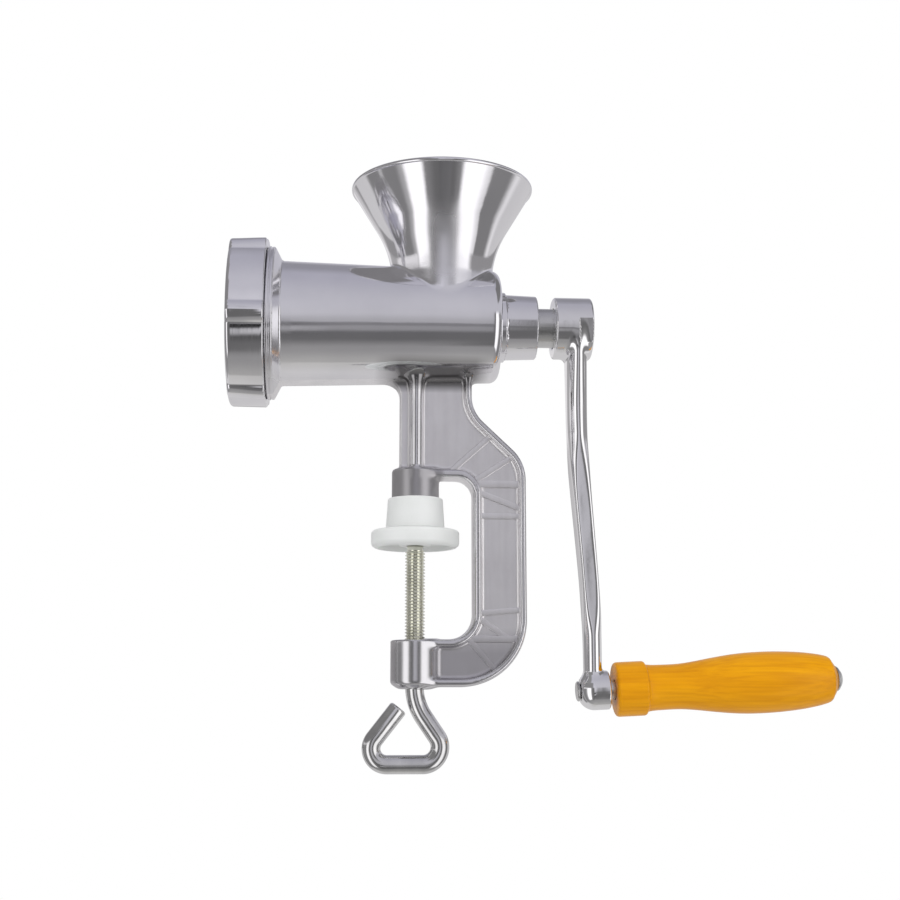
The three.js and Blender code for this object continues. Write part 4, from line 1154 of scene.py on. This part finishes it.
# Tones by elevation in degrees: on the camera's side, left and right of the middle, and behind the object
FRONT_LEFT = [
    (-90, SOFT), (-60, MIDDLE), (-41, DARK), (-30, DEEP), (-23.5, PALE), (-20.5, PALE),
    (-16.5, LINE), (-13.5, LINE), (-9, SOFT), (4, LIGHT), (20, LIGHT), (40, PALE), (90, SOFT),
]
FRONT_RIGHT = [
    (-90, SOFT), (-60, MIDDLE), (-41, DARK), (-31, DARK), (-23, MIDDLE), (-19, MIDDLE), (-16, DIM),
    (-13, DIM), (-10, SOFT), (8, PALE), (20, PALE), (90, SOFT),
]
BEHIND = [
    (-90, PALE), (-60, LIGHT), (10, LIGHT), (30, PALE), (52, MIDDLE), (66, MIDDLE), (90, SOFT),
]
# Tones by azimuth in degrees: a flag with a thin strip of light in it, panel, dark, panel, a second flag
AROUND = [
    (-180, LIGHT), (-119, LIGHT), (-113, DIM), (-97, DIM), (-93, PALE), (-89, DIM), (-72, DIM),
    (-63, SOFT), (-55, PANEL), (-35, PANEL), (-28, DIM), (-12, DARK), (14, DARK), (24, DIM),
    (32, PANEL), (55, PANEL), (68, BRIGHT), (72, DIM), (97, DIM), (110, BRIGHT), (118, LIGHT),
    (180, LIGHT),
]

# Cards: left, right, low and high edge, softness across and up, tone. Azimuths are shares of a full turn,
# heights shares of half a turn. A left edge below 0 lies past the seam: the card starts hard, at the seam.
CARDS = [
    # a bright wall at the left with a soft post in it and a grey wall at the right, seen by the crank arm
    ((-0.1, 0.325, 0.552, 0.575), (0.01, 0.008), BRIGHT),
    ((0.1, 0.145, 0.552, 0.575), (0.035, 0.008), SOFT),
    ((0.7, 0.9, 0.552, 0.575), (0.04, 0.008), MIDDLE),
    # a grey wall with a light strip at the far left, below them
    ((-0.1, 0.17, 0.5, 0.545), (0.012, 0.01), MIDDLE),
    ((0.04, 0.065, 0.5, 0.545), (0.035, 0.01), LIGHT),
    # darker patches that the barrel's back sees
    ((0.10, 0.44, 0.59, 0.73), (0.03, 0.03), 0.24),
    ((0.20, 0.38, 0.73, 0.86), (0.035, 0.035), 0.265),
    ((0.67, 0.87, 0.69, 0.84), (0.03, 0.03), 0.2),
]
# Windows in the same shares: low edge, its softness, high edge, its softness
RIGHT_OF_MIDDLE = (0.507, 0.013, 1.0, 0.1)
CAMERA_SIDE = (0.27, 0.07, 0.73, 0.07)
MIDDLE_STRIP = (0.484, 0.012, 0.524, 0.012)
PANEL_HEIGHT = (0.23, 0.04, 0.56, 0.05)


class Sky:
    """The world's node tree: grey levels laid out by elevation and azimuth."""

    def __init__(self):
        world = bpy.data.worlds.new("studio")
        scene.world = world
        world.use_nodes = True
        self.tree = world.node_tree
        self.tree.nodes.clear()
        coords = self.tree.nodes.new("ShaderNodeTexCoord")
        split = self.tree.nodes.new("ShaderNodeSeparateXYZ")
        self.tree.links.new(coords.outputs["Generated"], split.inputs[0])
        self.x, self.y, self.z = split.outputs

    def calc(self, operation, a, b=0.0):
        node = self.tree.nodes.new("ShaderNodeMath")
        node.operation = operation
        for socket, value in zip(node.inputs, (a, b)):
            feed(self.tree, value, socket)
        return node.outputs[0]

    def graded(self, place, stops, span, blue=(1.0, 1.0)):
        """A ramp of tones over a span in degrees, its blue going from a first share to a last one."""
        node = self.tree.nodes.new("ShaderNodeValToRGB")
        self.tree.links.new(place, node.inputs[0])
        ramp = node.color_ramp
        ramp.interpolation = "EASE"
        while len(ramp.elements) < len(stops):
            ramp.elements.new(0.5)
        for element, (degrees, tone) in zip(ramp.elements, stops):
            share = degrees / span + 0.5
            element.position = share
            element.color = (tone, tone * 0.985, tone * (blue[0] + (blue[1] - blue[0]) * share), 1.0)
        return node.outputs[0]

    def window(self, value, low, low_soft, high, high_soft):
        rise = self.tree.nodes.new("ShaderNodeMapRange")
        fall = self.tree.nodes.new("ShaderNodeMapRange")
        for node, full, empty in ((rise, low, low - low_soft), (fall, high, high + high_soft)):
            node.interpolation_type = "SMOOTHSTEP"
            self.tree.links.new(value, node.inputs["Value"])
            node.inputs["From Min"].default_value = empty
            node.inputs["From Max"].default_value = full
        return self.calc("MULTIPLY", rise.outputs[0], fall.outputs[0])

    def mix(self, factor, a, b):
        node = self.tree.nodes.new("ShaderNodeMix")
        node.data_type = "RGBA"
        for index, value in ((0, factor), (6, a), (7, b)):
            feed(self.tree, value, node.inputs[index])
        return node.outputs[2]


def make_world():
    sky = Sky()
    rise = sky.calc("DIVIDE", sky.calc("ARCSINE", sky.z), math.pi)
    height = sky.calc("ADD", rise, 0.5)
    toward = sky.calc("MULTIPLY", sky.y, -1.0)
    turn = sky.calc("ADD", sky.calc("DIVIDE", sky.calc("ARCTAN2", sky.x, toward), 2 * math.pi), 0.5)
    # the levels on the camera's side lean a little: they stand lower at the left than at the right
    near = sky.calc("MINIMUM", sky.calc("MAXIMUM", sky.x, -LEAN_REACH), LEAN_REACH)
    leaning = sky.calc("SUBTRACT", height, sky.calc("MULTIPLY", near, LEAN))
    left = sky.graded(leaning, FRONT_LEFT, 180, UPWARD_BLUE)
    right = sky.graded(leaning, FRONT_RIGHT, 180, UPWARD_BLUE)
    behind = sky.graded(height, BEHIND, 180, UPWARD_BLUE)
    around = sky.graded(turn, AROUND, 360)
    rightward = sky.window(turn, *RIGHT_OF_MIDDLE)
    front = sky.mix(rightward, left, right)
    ahead = sky.window(turn, *CAMERA_SIDE)
    room = sky.mix(ahead, behind, front)
    middle = sky.window(turn, *MIDDLE_STRIP)
    band = sky.window(height, *PANEL_HEIGHT)
    beside = sky.calc("MULTIPLY", band, sky.calc("SUBTRACT", 1.0, middle))
    room = sky.mix(beside, room, around)
    for (left_edge, right_edge, low, high), (soft_across, soft_up), tone in CARDS:
        across = sky.window(turn, left_edge, soft_across, right_edge, soft_across)
        up = sky.window(height, low, soft_up, high, soft_up)
        room = sky.mix(sky.calc("MULTIPLY", across, up), room, (tone, tone * 0.98, tone, 1))
    paths = sky.tree.nodes.new("ShaderNodeLightPath")
    plain = sky.mix(paths.outputs["Is Glossy Ray"], (0.62, 0.62, 0.63, 1), room)
    seen = sky.mix(paths.outputs["Is Camera Ray"], plain, (1, 1, 1, 1))
    background = sky.tree.nodes.new("ShaderNodeBackground")
    sky.tree.links.new(seen, background.inputs["Color"])
    output = sky.tree.nodes.new("ShaderNodeOutputWorld")
    sky.tree.links.new(background.outputs[0], output.inputs["Surface"])


make_world()


def make_lamp(name, place, power, size, colour=(1, 1, 1)):
    data = bpy.data.lights.new(name, "AREA")
    data.shape = "DISK"
    data.size = size
    data.energy = power
    data.color = colour
    lamp = bpy.data.objects.new(name, data)
    scene.collection.objects.link(lamp)
    lamp.location = place
    aim = Vector((0.03, 0.0, 0.02)) - Vector(place)
    lamp.rotation_euler = aim.to_track_quat("-Z", "Y").to_euler()
    lamp.visible_glossy = False
    return lamp


make_lamp("key", (-0.7, -0.9, 1.1), 9.0, 0.7)
make_lamp("fill", (0.9, -0.9, 0.2), 4.0, 0.9)


def make_floor():
    mesh = bpy.data.meshes.new("floor")
    half, level = 4.0, -0.30
    mesh.from_pydata(
        [(-half, -half, level), (half, -half, level), (half, half, level), (-half, half, level)],
        [],
        [(0, 1, 2, 3)],
    )
    floor = bpy.data.objects.new("floor", mesh)
    scene.collection.objects.link(floor)
    m = Nodes("pale_floor")
    m.set(Base_Color=(0.9, 0.9, 0.9, 1), Roughness=0.9)
    away = m.add("ShaderNodeVectorMath", i0=m.scaled((1, 1, 0)))
    away.operation = "LENGTH"
    # white to the camera, fully so only beyond the shadow
    far = m.ramp(away.outputs["Value"], 0.45, 1.0, 0.6, 1.0)
    seen = m.math("MULTIPLY", m.add("ShaderNodeLightPath").outputs["Is Camera Ray"], far)
    glow = m.add("ShaderNodeEmission")
    blend = m.add("ShaderNodeMixShader", i0=seen, i1=m.shader.outputs[0], i2=glow.outputs[0])
    m.tree.links.new(blend.outputs[0], m.tree.nodes["Material Output"].inputs["Surface"])
    mesh.materials.append(m.material)
    floor.visible_glossy = False


make_floor()
